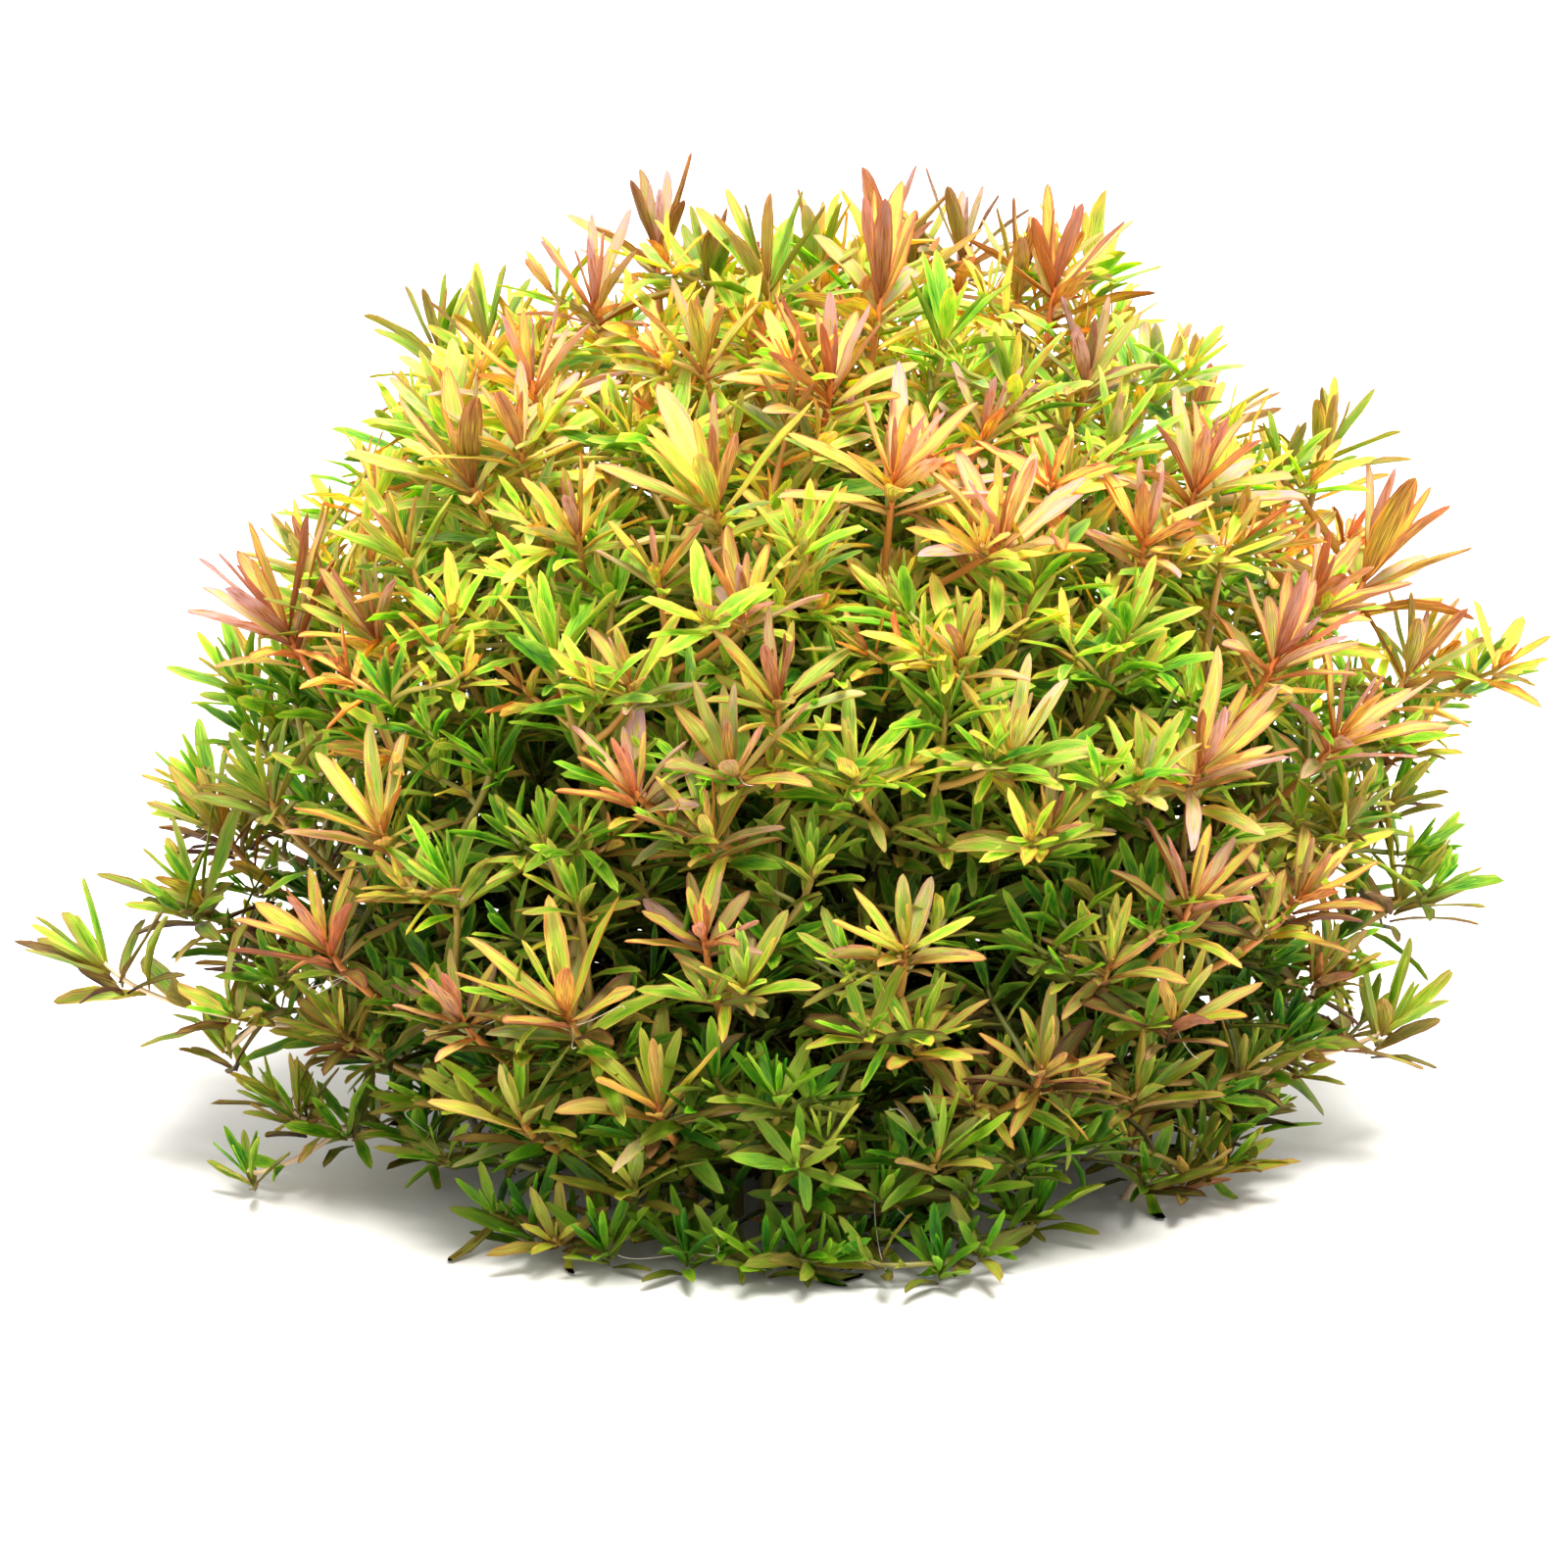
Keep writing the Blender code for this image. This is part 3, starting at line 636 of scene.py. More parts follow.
# A star of leaf pairs around a stem's end
def addCrown(growth, dice, tip, axis, reach, tone, look, form):
    warmth, shade, blush = tone
    side = axis.orthogonal().normalized()
    across = axis.cross(side)
    count = len(look["spreads"])
    turn = dice.uniform(0.0, math.tau)
    opening = dice.uniform(*crownLook["opening"])
    high = smooth(*crownLook["low"], tip.z)
    for pair in range(count):
        share = pair / (count - 1)
        young = share ** crownLook["youngPower"]
        warmer = mix(mix(*crownLook["lowWarmer"], young), mix(*crownLook["warmer"], share), high)
        # Painted shade: the outer leaves of low crowns are darker
        bright = shade * mix(mix(*crownLook["lowShade"], young), 1.0, high)
        # Pale bloom, partly a painted sheen, weaker on low crowns
        bloomAndSheen = blush * mix(crownLook["lowBloomAndSheen"], 1.0, high)
        drop = reach * crownLook["depth"] * (1.0 - share) ** crownLook["depthPower"]
        for half in range(2):
            if dice.random() < crownLook["missing"]:
                continue
            angle = turn + half * math.pi + dice.gauss(0.0, 1.0) * crownLook["turnPlay"]
            radial = around(side, across, angle)
            spread = math.radians(look["spreads"][pair]) * opening
            spread += dice.gauss(0.0, crownLook["spreadBunching"]) * crownLook["spreadPlay"]
            along = around(axis, radial, spread)
            if dice.random() > crownLook["drooping"]:
                along += up * max(0.0, crownLook["levelled"] - along.z) * crownLook["lift"]
            face = axis * math.sin(spread) - radial * math.cos(spread)
            length = reach * look["lengths"][pair]
            length *= 1.0 + dice.uniform(-1.0, 1.0) * crownLook["lengthPlay"]
            base = tip - axis * drop + radial * stemSize["crown"] * stemSize["leafInset"]
            slimness = dice.uniform(*look["slimness"])
            slimness *= mix(1.0, crownLook["budSlimness"], share ** 3)
            addLeaf(growth, dice, base, along, face, length, slimness,
                    look["arches"][pair], form, warmth + warmer, bright, bloomAndSheen)
        turn += crownLook["pairTurn"]


# Leaf pairs that sit crosswise down a stem, from its end towards the ground
def addStemLeaves(growth, dice, curve, reach, tone, form, keep=0.0, look=stemLook):
    warmth, shade, blush = tone
    last = len(curve) - 1
    gone = 0.0
    wait = reach * crownLook["depth"] + look["firstGap"]
    if dice.random() < look["bareShare"]:
        wait += look["bareStretch"]
    total = lengthOf(curve)
    turn = dice.uniform(0.0, math.tau)
    side = tangent(curve, last).orthogonal().normalized()
    for index in range(last, 0, -1):
        step = (curve[index] - curve[index - 1]).length
        gone += step
        if gone < wait:
            continue
        if curve[index].z < look["bareBelow"] or total - gone < keep:
            break
        depth = clamp(gone / look["greenAfter"])
        wait = gone + mix(look["gap"][0], look["gap"][1], depth)
        wait += dice.uniform(-1.0, 1.0) * look["gapPlay"]
        line = tangent(curve, index)
        side = (side - line * side.dot(line)).normalized()
        across = line.cross(side)
        lower = mix(warmth, zoneGreen(curve[index], dice), smooth(0.0, 1.0, depth))
        # Painted shade: darker down the stem, low down and deep inside the mound; painted light
        # towards the top
        bright = mix(shade, look["deepShade"], depth) * paintedDepthShade(curve[index])
        for half in range(2):
            angle = turn + half * math.pi + dice.gauss(0.0, look["anglePlay"])
            radial = around(side, across, angle)
            spread = mix(*look["spreads"], depth) + dice.gauss(0.0, look["spreadPlay"])
            spread = math.radians(spread)
            along = around(line, radial, spread) + up * look["lift"]
            face = line * math.sin(spread) - radial * math.cos(spread)
            length = max(reach * mix(*look["lengths"], depth), look["shortest"])
            length *= dice.uniform(*look["lengthPlay"])
            base = curve[index] + radial * stemSize["crown"] * stemSize["leafInset"]
            addLeaf(growth, dice, base, along, face, length, dice.uniform(*look["slimness"]),
                    dice.uniform(*look["arches"]), form, lower, bright, blush * (1.0 - depth))
        turn += math.pi / 2 + play(dice, look["turnPlay"])


# A stem as a line of points that carry its thickness and colour
def addStem(growth, curve, footRadius, tipRadius, tone, dice, pale=0.0):
    total = lengthOf(curve)
    count = max(4, int(total / stemSize["step"]))
    stem = {"points": [], "stemRadius": [], "warmth": [], "shade": [], "blush": []}
    oldWarmth, oldShade = stemSize["oldWarmth"], stemSize["oldShade"]
    phase = dice.random()
    for number in range(count + 1):
        share = number / count
        place = share * (len(curve) - 1)
        index = min(int(place), len(curve) - 2)
        point = curve[index].lerp(curve[index + 1], place - index)
        swell = max(0.0, math.cos(math.tau * (share * total / stemSize["pairGap"] + phase))) ** 6
        if number == 0:
            swell = 0.0
        left = total * (1.0 - share)
        stem["points"].append(point)
        stem["stemRadius"].append(mix(footRadius, tipRadius, share)
                                  * (1.0 + stemSize["swelling"] * swell))
        stem["warmth"].append(mix(tone[0], oldWarmth[0], smooth(0.0, oldWarmth[1], left)))
        stem["shade"].append(mix(tone[1], oldShade[0], smooth(0.0, oldShade[1], left)))
        stem["blush"].append(pale)
    growth["stems"].append(stem)


def addRoots(growth, dice, curve):
    if dice.random() > rootLook["share"]:
        return
    index = len(curve) - 1 - dice.randint(*rootLook["below"])
    start, line = curve[index], tangent(curve, index)
    for _ in range(dice.randint(1, rootLook["most"])):
        length = dice.uniform(*rootLook["length"])
        heading = Vector([dice.gauss(0.0, 1.0) for _ in range(3)])
        heading = (heading - line * heading.dot(line)).normalized()
        bend = randomVector(dice, rootLook["bendPlay"])
        end = start + (heading + line * rootLook["alongStem"]) * length
        count = rootLook["points"]
        points = interpolate_bezier(start, start + heading * rootLook["handle"] * length,
                                    end + bend * rootLook["bend"] * length, end, count)
        growth["stems"].append({
            "points": points, "stemRadius": [rootLook["radius"]] * count, "warmth": [0.5] * count,
            "shade": [rootLook["shade"]] * count, "blush": [1.0] * count})


# A twig from a point of a stem to a small crown
def addTwig(growth, dice, start, line, tip, reach):
    span = (tip - start).length
    heading = (tip - start).normalized()
    out = outOfMound(tip)
    axis = heading + up * twigLook["upwardPull"] + out.normalized() * twigLook["outwardPull"]
    axis = axis.normalized()
    follow, handle = twigLook["footHandle"]
    twig = interpolate_bezier(start, start + (heading + line * follow) * handle * span,
                              tip - axis * twigLook["tipHandle"] * span, tip,
                              twigLook["points"])
    warmth = zoneGreen(tip, dice) + twigLook["warmer"]
    if dice.random() < twigLook["warmShare"] * smooth(*twigLook["warmRange"], out.length):
        warmth += dice.uniform(*twigLook["warmest"])
    # Painted sheen: pale pink on the highest twigs
    bloomAndSheen = twigLook["bloomAndSheen"] * smooth(*twigLook["sheenHeight"], tip.z)
    # Painted shade low down and deep inside, painted light towards the top
    tone = (warmth, paintedDepthShade(tip), bloomAndSheen)
    addCrown(growth, dice, tip, axis, reach, tone, twigLook, 2)
    addStemLeaves(growth, dice, twig, reach, tone, 2)
    addStem(growth, twig, stemSize["twig"] * stemSize["twigFoot"], stemSize["twig"], tone, dice)


# The grid of twig crowns, each given to the stem that it lies nearest, from below
def shareTwigs(shoots):
    dice = random.Random(seeds["twigs"])
    step, ends = twigLook["grid"], twigLook["clearEnds"]
    stems, joints = [], []
    for shoot in shoots:
        shoot["twigs"] = []
        for curve in shoot["curves"]:
            joints += [(len(stems), index) for index in range(ends, len(curve) - ends, 2)]
            stems.append((shoot, curve))
    near = KDTree(len(joints))
    for number, (stem, index) in enumerate(joints):
        near.insert(stems[stem][1][index], number)
    near.balance()
    crowns = [crown["point"] for shoot in shoots for crown in shoot["crowns"]]
    counts = [int(radius * 2.0 / step) + 1 for radius in mound["radii"]]
    for cell in itertools.product(*(range(count) for count in counts)):
        shift = Vector([dice.uniform(-1.0, 1.0) * twigLook["play"] for _ in range(3)])
        tip = mound["centre"] - mound["radii"] + (Vector(cell) + shift) * step
        outermost = mix(*twigLook["outermost"], smooth(*twigLook["outermostHeight"], tip.z))
        reached = outOfMound(tip)
        reached.z = max(reached.z, reached.z * twigLook["footNarrowing"])
        if tip.z < twigLook["lowest"] or reached.length > outermost:
            continue
        if any((tip - crown).length < twigLook["clearOfCrowns"] for crown in crowns):
            continue
        best = None
        for place, number, gap in near.find_n(tip, twigLook["candidates"]):
            drop = max(0.0, place.z + twigLook["climb"] * gap - tip.z)
            cost = gap + twigLook["flatness"] * drop
            if best is None or cost < best[0]:
                best = (cost, gap, number)
        if best[1] < twigLook["longest"]:
            stem, index = joints[best[2]]
            stems[stem][0]["twigs"].append((stems[stem][1], index, tip))


# More small crowns on both sides of a stem, where it lies low or outside the mound
def addTwigsBeside(growth, dice, curve, farthest):
    wait = 0.0
    turn = 1.0
    for index in range(len(curve) // 3, len(curve) - twigLook["besideEnd"]):
        wait -= (curve[index + 1] - curve[index]).length
        reached = outOfMound(curve[index]).length
        inside = curve[index].z > twigLook["besideBelow"] and reached < twigLook["besideOutside"]
        if wait > 0.0 or inside or reached > farthest:
            continue
        wait = twigLook["besideGap"]
        line = tangent(curve, index)
        aside = line.cross(up).normalized() * turn
        turn = -turn
        heading = aside + line * twigLook["besideOnward"]
        heading = (heading + up * dice.uniform(*twigLook["besideLift"])).normalized()
        tip = curve[index] + heading * dice.uniform(*twigLook["besideLength"])
        tip.z = max(tip.z, twigLook["lowest"])
        addTwig(growth, dice, curve[index], line, tip, dice.uniform(*twigLook["besideReach"]))


def routeShoot(shoot):
    node = frame["nodes"][shoot["name"]]
    corners = [vert.co.copy() for vert in node.data.vertices]
    solid = BVHTree.FromPolygons(corners, [tuple(face.vertices) for face in node.data.polygons])
    main = mainCurve(shoot["foot"], shoot["crowns"][0])
    shoot["curves"] = [main] + [sideCurve(main, crown, solid) for crown in shoot["crowns"][1:]]


def dressShoot(shoot):
    dice = random.Random(shoot["seed"] + seeds["leaves"])
    growth = {"leaves": [], "stems": []}
    trails = shoot["zone"] == "trailing"
    for number, (crown, curve) in enumerate(zip(shoot["crowns"], shoot["curves"])):
        warmth, shade, blush = palette[crown["colour"]]
        # Painted light: crowns are painted brighter the higher they stand
        high = smooth(*depthLook["greenHeight"], crown["point"].z)
        tone = (warmth, shade * mix(*crownLook["shade"], high), blush)
        look = dict(crownLook)
        fewer = (crown["reach"] < crownLook["fullCrown"]) + (crown["reach"] < crownLook["smallCrown"])
        for key in ("lengths", "spreads", "arches"):
            look[key] = crownLook[key][fewer:]
        addCrown(growth, dice, crown["point"], crown["axis"], crown["reach"], tone, look, 0)
        along = trailLook if trails else stemLook
        keep = along["forkClearance"][min(number, 1)]
        addStemLeaves(growth, dice, curve, crown["reach"], tone, 1, keep, along)
        foot = stemSize["foot"] if number == 0 else stemSize["crown"] * stemSize["sideFoot"]
        slim = trailLook["slim"] if trails else 1.0
        bark = trailLook["bark"] if trails else (warmth + stemSize["youngWarmer"], tone[1])
        pale = trailLook["pale"] if trails else 0.0
        thin = stemSize["crown"] * stemSize["tip"]
        addStem(growth, curve, foot * slim, thin * slim, bark, dice, pale)
        addRoots(growth, dice, curve)
        addTwigsBeside(growth, dice, curve, twigLook["besideTrailing"] if trails else math.inf)
    for curve, index, tip in shoot["twigs"]:
        reach = dice.uniform(*twigLook["reach"])
        reach *= mix(twigLook["deeper"], 1.0, smooth(*twigLook["deepest"], outOfMound(tip).length))
        addTwig(growth, dice, curve[index], tangent(curve, index), tip, reach)
    return growth


# Adds a node with its first inputs in order: a socket is linked, a value is set
def newNode(tree, kind, *values, **settings):
    made = tree.nodes.new(kind)
    for name, value in settings.items():
        setattr(made, name, value)
    sockets = [socket for socket in made.inputs if socket.enabled]
    for socket, value in zip(sockets, values):
        if isinstance(value, bpy.types.NodeSocket):
            tree.links.new(value, socket)
        elif value is not None:
            socket.default_value = value
    return made


def addNode(tree, kind, *values, **settings):
    made = newNode(tree, kind, *values, **settings)
    return [socket for socket in made.outputs if socket.enabled][0]


def calc(tree, operation, *values, **settings):
    return addNode(tree, "ShaderNodeMath", *values, operation=operation, **settings)


# Short names for the sums in one tree
def sumsFor(tree):
    return [partial(calc, tree, name) for name in ("ADD", "SUBTRACT", "MULTIPLY", "MULTIPLY_ADD")]


def vector(tree, operation, *values):
    return addNode(tree, "ShaderNodeVectorMath", *values, operation=operation)


def mixColour(tree, share, first, second, blend="MIX"):
    return addNode(tree, "ShaderNodeMix", share, first, second, data_type="RGBA", blend_type=blend)


# Names a group's inputs or outputs, and gives their identifiers
def nameSockets(tree, side, kinds):
    named = {}
    for name, kind in kinds.items():
        made = tree.interface.new_socket(name, in_out=side, socket_type="NodeSocket" + kind)
        named[name] = made.identifier
    return named


def newObject(name, data, home=bpy.context.scene.collection):
    made = bpy.data.objects.new(name, data)
    home.objects.link(made)
    return made


# Leaf outline: half width along a leaf, narrow at the stem and blunt at the tip
leafShape = {
    "widestPull": 0.66,
    "tipPull": 0.58,
    "neck": 0.17,
    "thickness": 0.00026,
    "waves": 9.0,  # along a leaf's rims, in radians a leaf, and how far leaves differ in them
    "waveShift": 25.0,
}

# Where the sections of a leaf stand along it, and whether they are fine
leafForms = {
    "leafForm0Crown": ((0.0, 0.08, 0.24, 0.46, 0.68, 0.86, 0.95), True),
    "leafForm1Stem": ((0.0, 0.10, 0.30, 0.55, 0.78, 0.95), False),
    "leafForm2Inner": ((0.0, 0.18, 0.54, 0.88), False),
}

# A section's corners: across, height, and 1 for the underside. Fine ones have two swells.
leafSections = {
    True: ((-1.0, 0.0, 0.5), (-0.52, 0.55, 0.0), (0.0, 0.12, 0.0), (0.52, 0.55, 0.0),
           (1.0, 0.0, 0.5), (0.0, -0.9, 1.0)),
    False: ((-1.0, 0.0, 0.5), (0.0, 0.3, 0.0), (1.0, 0.0, 0.5), (0.0, -0.8, 1.0)),
}


def halfWidth(share):
    low, high = leafShape["widestPull"], leafShape["tipPull"]
    widest = low / (low + high)
    top = widest ** low * (1.0 - widest) ** high
    return max(share ** low * (1.0 - share) ** high / top, leafShape["neck"])


# A flat leaf of unit length with a ridge below
def makeLeafForm(name, stations, fine, home):
    section = leafSections[fine]
    size = len(section)
    verts, marks = [], []
    for station in stations:
        wide = halfWidth(station)
        for across, rise, under in section:
            verts.append((across * wide, station, rise))
            marks.append((across, station, under))
    verts.append((0.0, 1.0, 0.0))
    marks.append((0.0, 1.0, 0.5))
    faces = [tuple(reversed(range(size)))]
    for ring in range(len(stations)):
        for place in range(size):
            a, b = ring * size + place, ring * size + (place + 1) % size
            if ring < len(stations) - 1:
                faces.append((a, b, b + size, a + size))
            else:
                faces.append((a, b, len(verts) - 1))
    mesh = bpy.data.meshes.new(name)
    mesh.from_pydata(verts, [], faces)
    shape = mesh.attributes.new("leafForm3d", "FLOAT_VECTOR", "POINT")
    shape.data.foreach_set("vector", np.array(verts, np.float32).ravel())
    for column, key in enumerate(("across", "along", "under")):
        mark = mesh.attributes.new(key, "FLOAT", "POINT")
        mark.data.foreach_set("value", np.array([m[column] for m in marks], np.float32))
    rims = [place for place, corner in enumerate(section) if abs(corner[0]) == 1.0]
    sharp = mesh.attributes.new("sharp_edge", "BOOLEAN", "EDGE")
    for edge, flag in zip(mesh.edges, sharp.data):
        a, b = sorted(edge.vertices)
        flag.value = a % size in rims and (b % size == a % size or b == len(verts) - 1)
    newObject(name, mesh, home)


# A place that comes no lower than a given height
def keptAbove(tree, place, floor):
    right, back, height = newNode(tree, "ShaderNodeSeparateXYZ", place).outputs
    return addNode(tree, "ShaderNodeCombineXYZ", right, back, calc(tree, "MAXIMUM", height, floor))


# The tree that turns leaf points and stem lines into leaves and stems
def makeShootTree():
    tree = bpy.data.node_groups.new("shootTree", "GeometryNodeTree")
    sockets = nameSockets(tree, "INPUT", {
        "Geometry": "Geometry", "Leaf Forms": "Collection", "Leaf Thickness": "Float",
        "Edge Wave": "Float", "Stem Sides": "Int", "Ground Gap": "Float",
        "Leaf Material": "Material", "Stem Material": "Material"})
    nameSockets(tree, "OUTPUT", {"Geometry": "Geometry"})
    given = newNode(tree, "NodeGroupInput").outputs

    def named(key, kind="FLOAT"):
        return addNode(tree, "GeometryNodeInputNamedAttribute", key, data_type=kind)

    isStem = named("isStem", "BOOLEAN")
    parted = newNode(tree, "GeometryNodeSeparateGeometry", given["Geometry"], isStem).outputs

    # stems: a round section swept along each line
    lines = addNode(tree, "GeometryNodeMeshToCurve", parted["Selection"])
    ring = addNode(tree, "GeometryNodeCurvePrimitiveCircle", given["Stem Sides"], 1.0)
    stems = addNode(tree, "GeometryNodeCurveToMesh", lines, ring, named("stemRadius"), True)

    # leaves: a flat form on every point, bent afterwards by the leaf's own values
    forms = addNode(tree, "GeometryNodeCollectionInfo", given["Leaf Forms"], True, True)
    leaves = addNode(tree, "GeometryNodeInstanceOnPoints", parted["Inverted"], None, forms, True,
                     named("leafForm", "INT"))
    leaves = addNode(tree, "GeometryNodeRealizeInstances", leaves)
    form = newNode(tree, "ShaderNodeSeparateXYZ", named("leafForm3d", "FLOAT_VECTOR"))
    across, reach, rise = form.outputs
    plus, minus, times, timesPlus = sumsFor(tree)
    wide = times(across, times(named("leafWidth"), 0.5))
    waves = times(reach, leafShape["waves"])
    phase = timesPlus(named("leafSeed"), leafShape["waveShift"], waves)
    wave = times(calc(tree, "SINE", phase), given["Edge Wave"])
    lift = times(calc(tree, "ABSOLUTE", wide), plus(named("leafFold"), wave))
    high = timesPlus(rise, given["Leaf Thickness"], lift)
    twist = times(named("leafTwist"), reach)
    sine, cosine = calc(tree, "SINE", twist), calc(tree, "COSINE", twist)
    right = minus(times(wide, cosine), times(high, sine))
    high = plus(times(wide, sine), times(high, cosine))
    arch, length = named("leafArch"), named("leafLength")
    bend = times(arch, reach)
    radius = calc(tree, "DIVIDE", length, arch)
    outer = plus(radius, high)
    onward = times(calc(tree, "SINE", bend), outer)
    above = minus(times(outer, calc(tree, "COSINE", bend)), radius)
    right = timesPlus(times(named("leafSway"), length), times(reach, reach), right)
    along, front = named("leafAlong", "FLOAT_VECTOR"), named("leafFace", "FLOAT_VECTOR")
    place = named("leafBase", "FLOAT_VECTOR")
    for direction, distance in ((vector(tree, "CROSS_PRODUCT", along, front), right),
                                (along, onward), (front, above)):
        place = vector(tree, "ADD", place, vector(tree, "SCALE", direction, distance))
    leaves = addNode(tree, "GeometryNodeSetPosition", leaves, None,
                     keptAbove(tree, place, given["Ground Gap"]))
    stems = addNode(tree, "GeometryNodeSetPosition", stems, None,
                    keptAbove(tree, addNode(tree, "GeometryNodeInputPosition"), 0.0))

    joined = newNode(tree, "GeometryNodeJoinGeometry", leaves)
    tree.links.new(stems, joined.inputs[0])
    whole = addNode(tree, "GeometryNodeSetShadeSmooth", joined.outputs[0])
    whole = addNode(tree, "GeometryNodeRealizeInstances", whole)
    whole = addNode(tree, "GeometryNodeSetMaterial", whole, None, given["Leaf Material"])
    whole = addNode(tree, "GeometryNodeSetMaterial", whole, isStem, given["Stem Material"])
    newNode(tree, "NodeGroupOutput", whole)
    return tree, sockets


# Colours are given as they look on a screen, from 0 to 255
def paint(red, green, blue):
    shades = []
    for value in (red, green, blue):
        value /= 255.0
        shades.append(value / 12.92 if value <= 0.04045 else ((value + 0.055) / 1.055) ** 2.4)
    return (*shades, 1.0)


def ramp(tree, source, stops):
    made = newNode(tree, "ShaderNodeValToRGB", source)
    elements = made.color_ramp.elements
    while len(elements) < len(stops):
        elements.new(0.5)
    for element, (place, colour) in zip(elements, stops):
        element.position = place
        element.color = paint(*colour)
    return made.outputs["Color"]


def attribute(tree, key):
    return newNode(tree, "ShaderNodeAttribute", attribute_name=key).outputs["Fac"]


def addBump(tree, strength, distance, height):
    return addNode(tree, "ShaderNodeBump", strength, distance, None, height)


def newMaterial(name):
    material = bpy.data.materials.new(name)
    material.use_nodes = True
    return material, material.node_tree, material.node_tree.nodes["Principled BSDF"].inputs


# From green leaves to red ones
leafColours = [
    (0.00, (24, 84, 12)),
    (0.16, (74, 154, 20)),
    (0.32, (156, 206, 38)),
    (0.46, (202, 214, 78)),
    (0.60, (226, 207, 92)),
    (0.74, (230, 188, 88)),
    (0.88, (224, 158, 92)),
    (1.00, (208, 122, 76)),
]
# Pale pink of the bloom, which also stands in for a painted sheen
bloomAndSheenColour = paint(240, 200, 202)

# What the tint of leaves takes, in this order, and its values for three kinds of leaves
leafTraits = ("Tip Warmth", "Rim Warmth", "Mottle", "Wrinkle Shade", "Under Warmth",
              "Streak Warmth")
leafFinish = {
    "warm": (0.20, 0.20, 0.42, 1.8, 0.45, -0.42),
    "olive": (0.18, 0.21, 0.40, 2.0, 0.55, -0.42),
    "green": (0.12, 0.08, 0.26, 1.6, 0.26, -0.25),
}
leafGloss = {
    "glow": (1.0, 1.0, 0.58, 1.0),  # what light takes on in a leaf
    "specular": 0.45,
    "translucency": 0.50,
    "bump": 0.55,
    "bumpDepth": 0.00035,
}

# Noise over a leaf: cells across and along it, detail, and a shift of its own
leafPatterns = {
    "wrinkles": (7.0, 1.3, 3.0, 0.0),
    "patches": (2.2, 1.8, 2.0, 7.0),
    "bloomAndSheen": (1.4, 1.8, 2.0, 19.0),
}

# How strong each mark is. Pairs are a slope and an offset.
leafMarks = {
    "patternShift": 40.0,
    "endsWarmth": 2.8,
    "endsPower": 1.5,
    "brownUnder": (3.5, -0.7),  # of warm leaves alone
    "ribNarrowness": 7.0,
    "ribLight": 0.10,
    "ribHeight": -0.35,
    # Painted shade: undersides are darker
    "underLight": -0.40,
    "bloomAndSheenPatches": (3.2, -0.9),
    "bloomAndSheenAlong": (0.9, 0.25),
    "roughness": (0.25, 0.28),
}


# What every leaf shows: warm tips and rims, long wrinkles, a pale midrib, pink bloom that is partly a
# painted pale sheen
def makeLeafTint():
    tree = bpy.data.node_groups.new("leafTint", "ShaderNodeTree")
    nameSockets(tree, "INPUT", dict.fromkeys(leafTraits, "Float"))
    nameSockets(tree, "OUTPUT", {"Color": "Color", "Glow": "Color", "Roughness": "Float",
                                 "Height": "Float"})
    given = newNode(tree, "NodeGroupInput").outputs
    across, along, under, seed, warm, shade, blush = [attribute(tree, key) for key in (
        "across", "along", "under", "leafSeed", "warmth", "shade", "blush")]
    plus, minus, times, timesPlus = sumsFor(tree)
    seed = times(seed, leafMarks["patternShift"])
    rim = calc(tree, "ABSOLUTE", across)

    def streaks(acrossScale, alongScale, detail, shift):
        spot = addNode(tree, "ShaderNodeCombineXYZ", times(across, acrossScale),
                       times(along, alongScale), plus(seed, shift))
        return addNode(tree, "ShaderNodeTexNoise", spot, None, 1.0, detail, 0.6)

    wrinkles = streaks(*leafPatterns["wrinkles"])
    folds = minus(wrinkles, 0.5)
    patches = minus(streaks(*leafPatterns["patches"]), 0.5)
    bloomAndSheen = streaks(*leafPatterns["bloomAndSheen"])
    rib = minus(1.0, times(rim, leafMarks["ribNarrowness"]), use_clamp=True)

    ends = calc(tree, "ABSOLUTE", minus(along, 0.5))
    ends = calc(tree, "POWER", ends, leafMarks["endsPower"])
    brown = timesPlus(warm, *leafMarks["brownUnder"], use_clamp=True)
    brown = times(brown, given["Under Warmth"])
    warmth = timesPlus(ends, times(given["Tip Warmth"], leafMarks["endsWarmth"]), warm)
    warmth = timesPlus(calc(tree, "POWER", rim, 2.0), given["Rim Warmth"], warmth)
    warmth = timesPlus(patches, given["Mottle"], warmth)
    warmth = timesPlus(under, brown, warmth)
    warmth = timesPlus(folds, given["Streak Warmth"], warmth)
    colour = ramp(tree, warmth, leafColours)

    # The shade attribute holds each leaf's own tone with the painted light and shade of its place; the
    # wrinkles are painted lighter and darker as shade in their folds
    light = times(timesPlus(folds, given["Wrinkle Shade"], 1.0), shade)
    light = timesPlus(rib, leafMarks["ribLight"], light)
    # Painted shade: the undersides and rims are darker
    light = timesPlus(under, leafMarks["underLight"], light)
    body = mixColour(tree, 1.0, colour, light, "MULTIPLY")
    glow = mixColour(tree, 1.0, body, leafGloss["glow"], "MULTIPLY")
    # Pale pink bloom, partly a painted sheen, towards the leaf's tip
    pale = times(blush, timesPlus(bloomAndSheen, *leafMarks["bloomAndSheenPatches"], use_clamp=True))
    pale = times(pale, timesPlus(along, *leafMarks["bloomAndSheenAlong"]), use_clamp=True)
    newNode(tree, "NodeGroupOutput", mixColour(tree, pale, body, bloomAndSheenColour),
            mixColour(tree, pale, glow, bloomAndSheenColour),
            timesPlus(wrinkles, *leafMarks["roughness"]),
            timesPlus(rib, leafMarks["ribHeight"], wrinkles))
    return tree


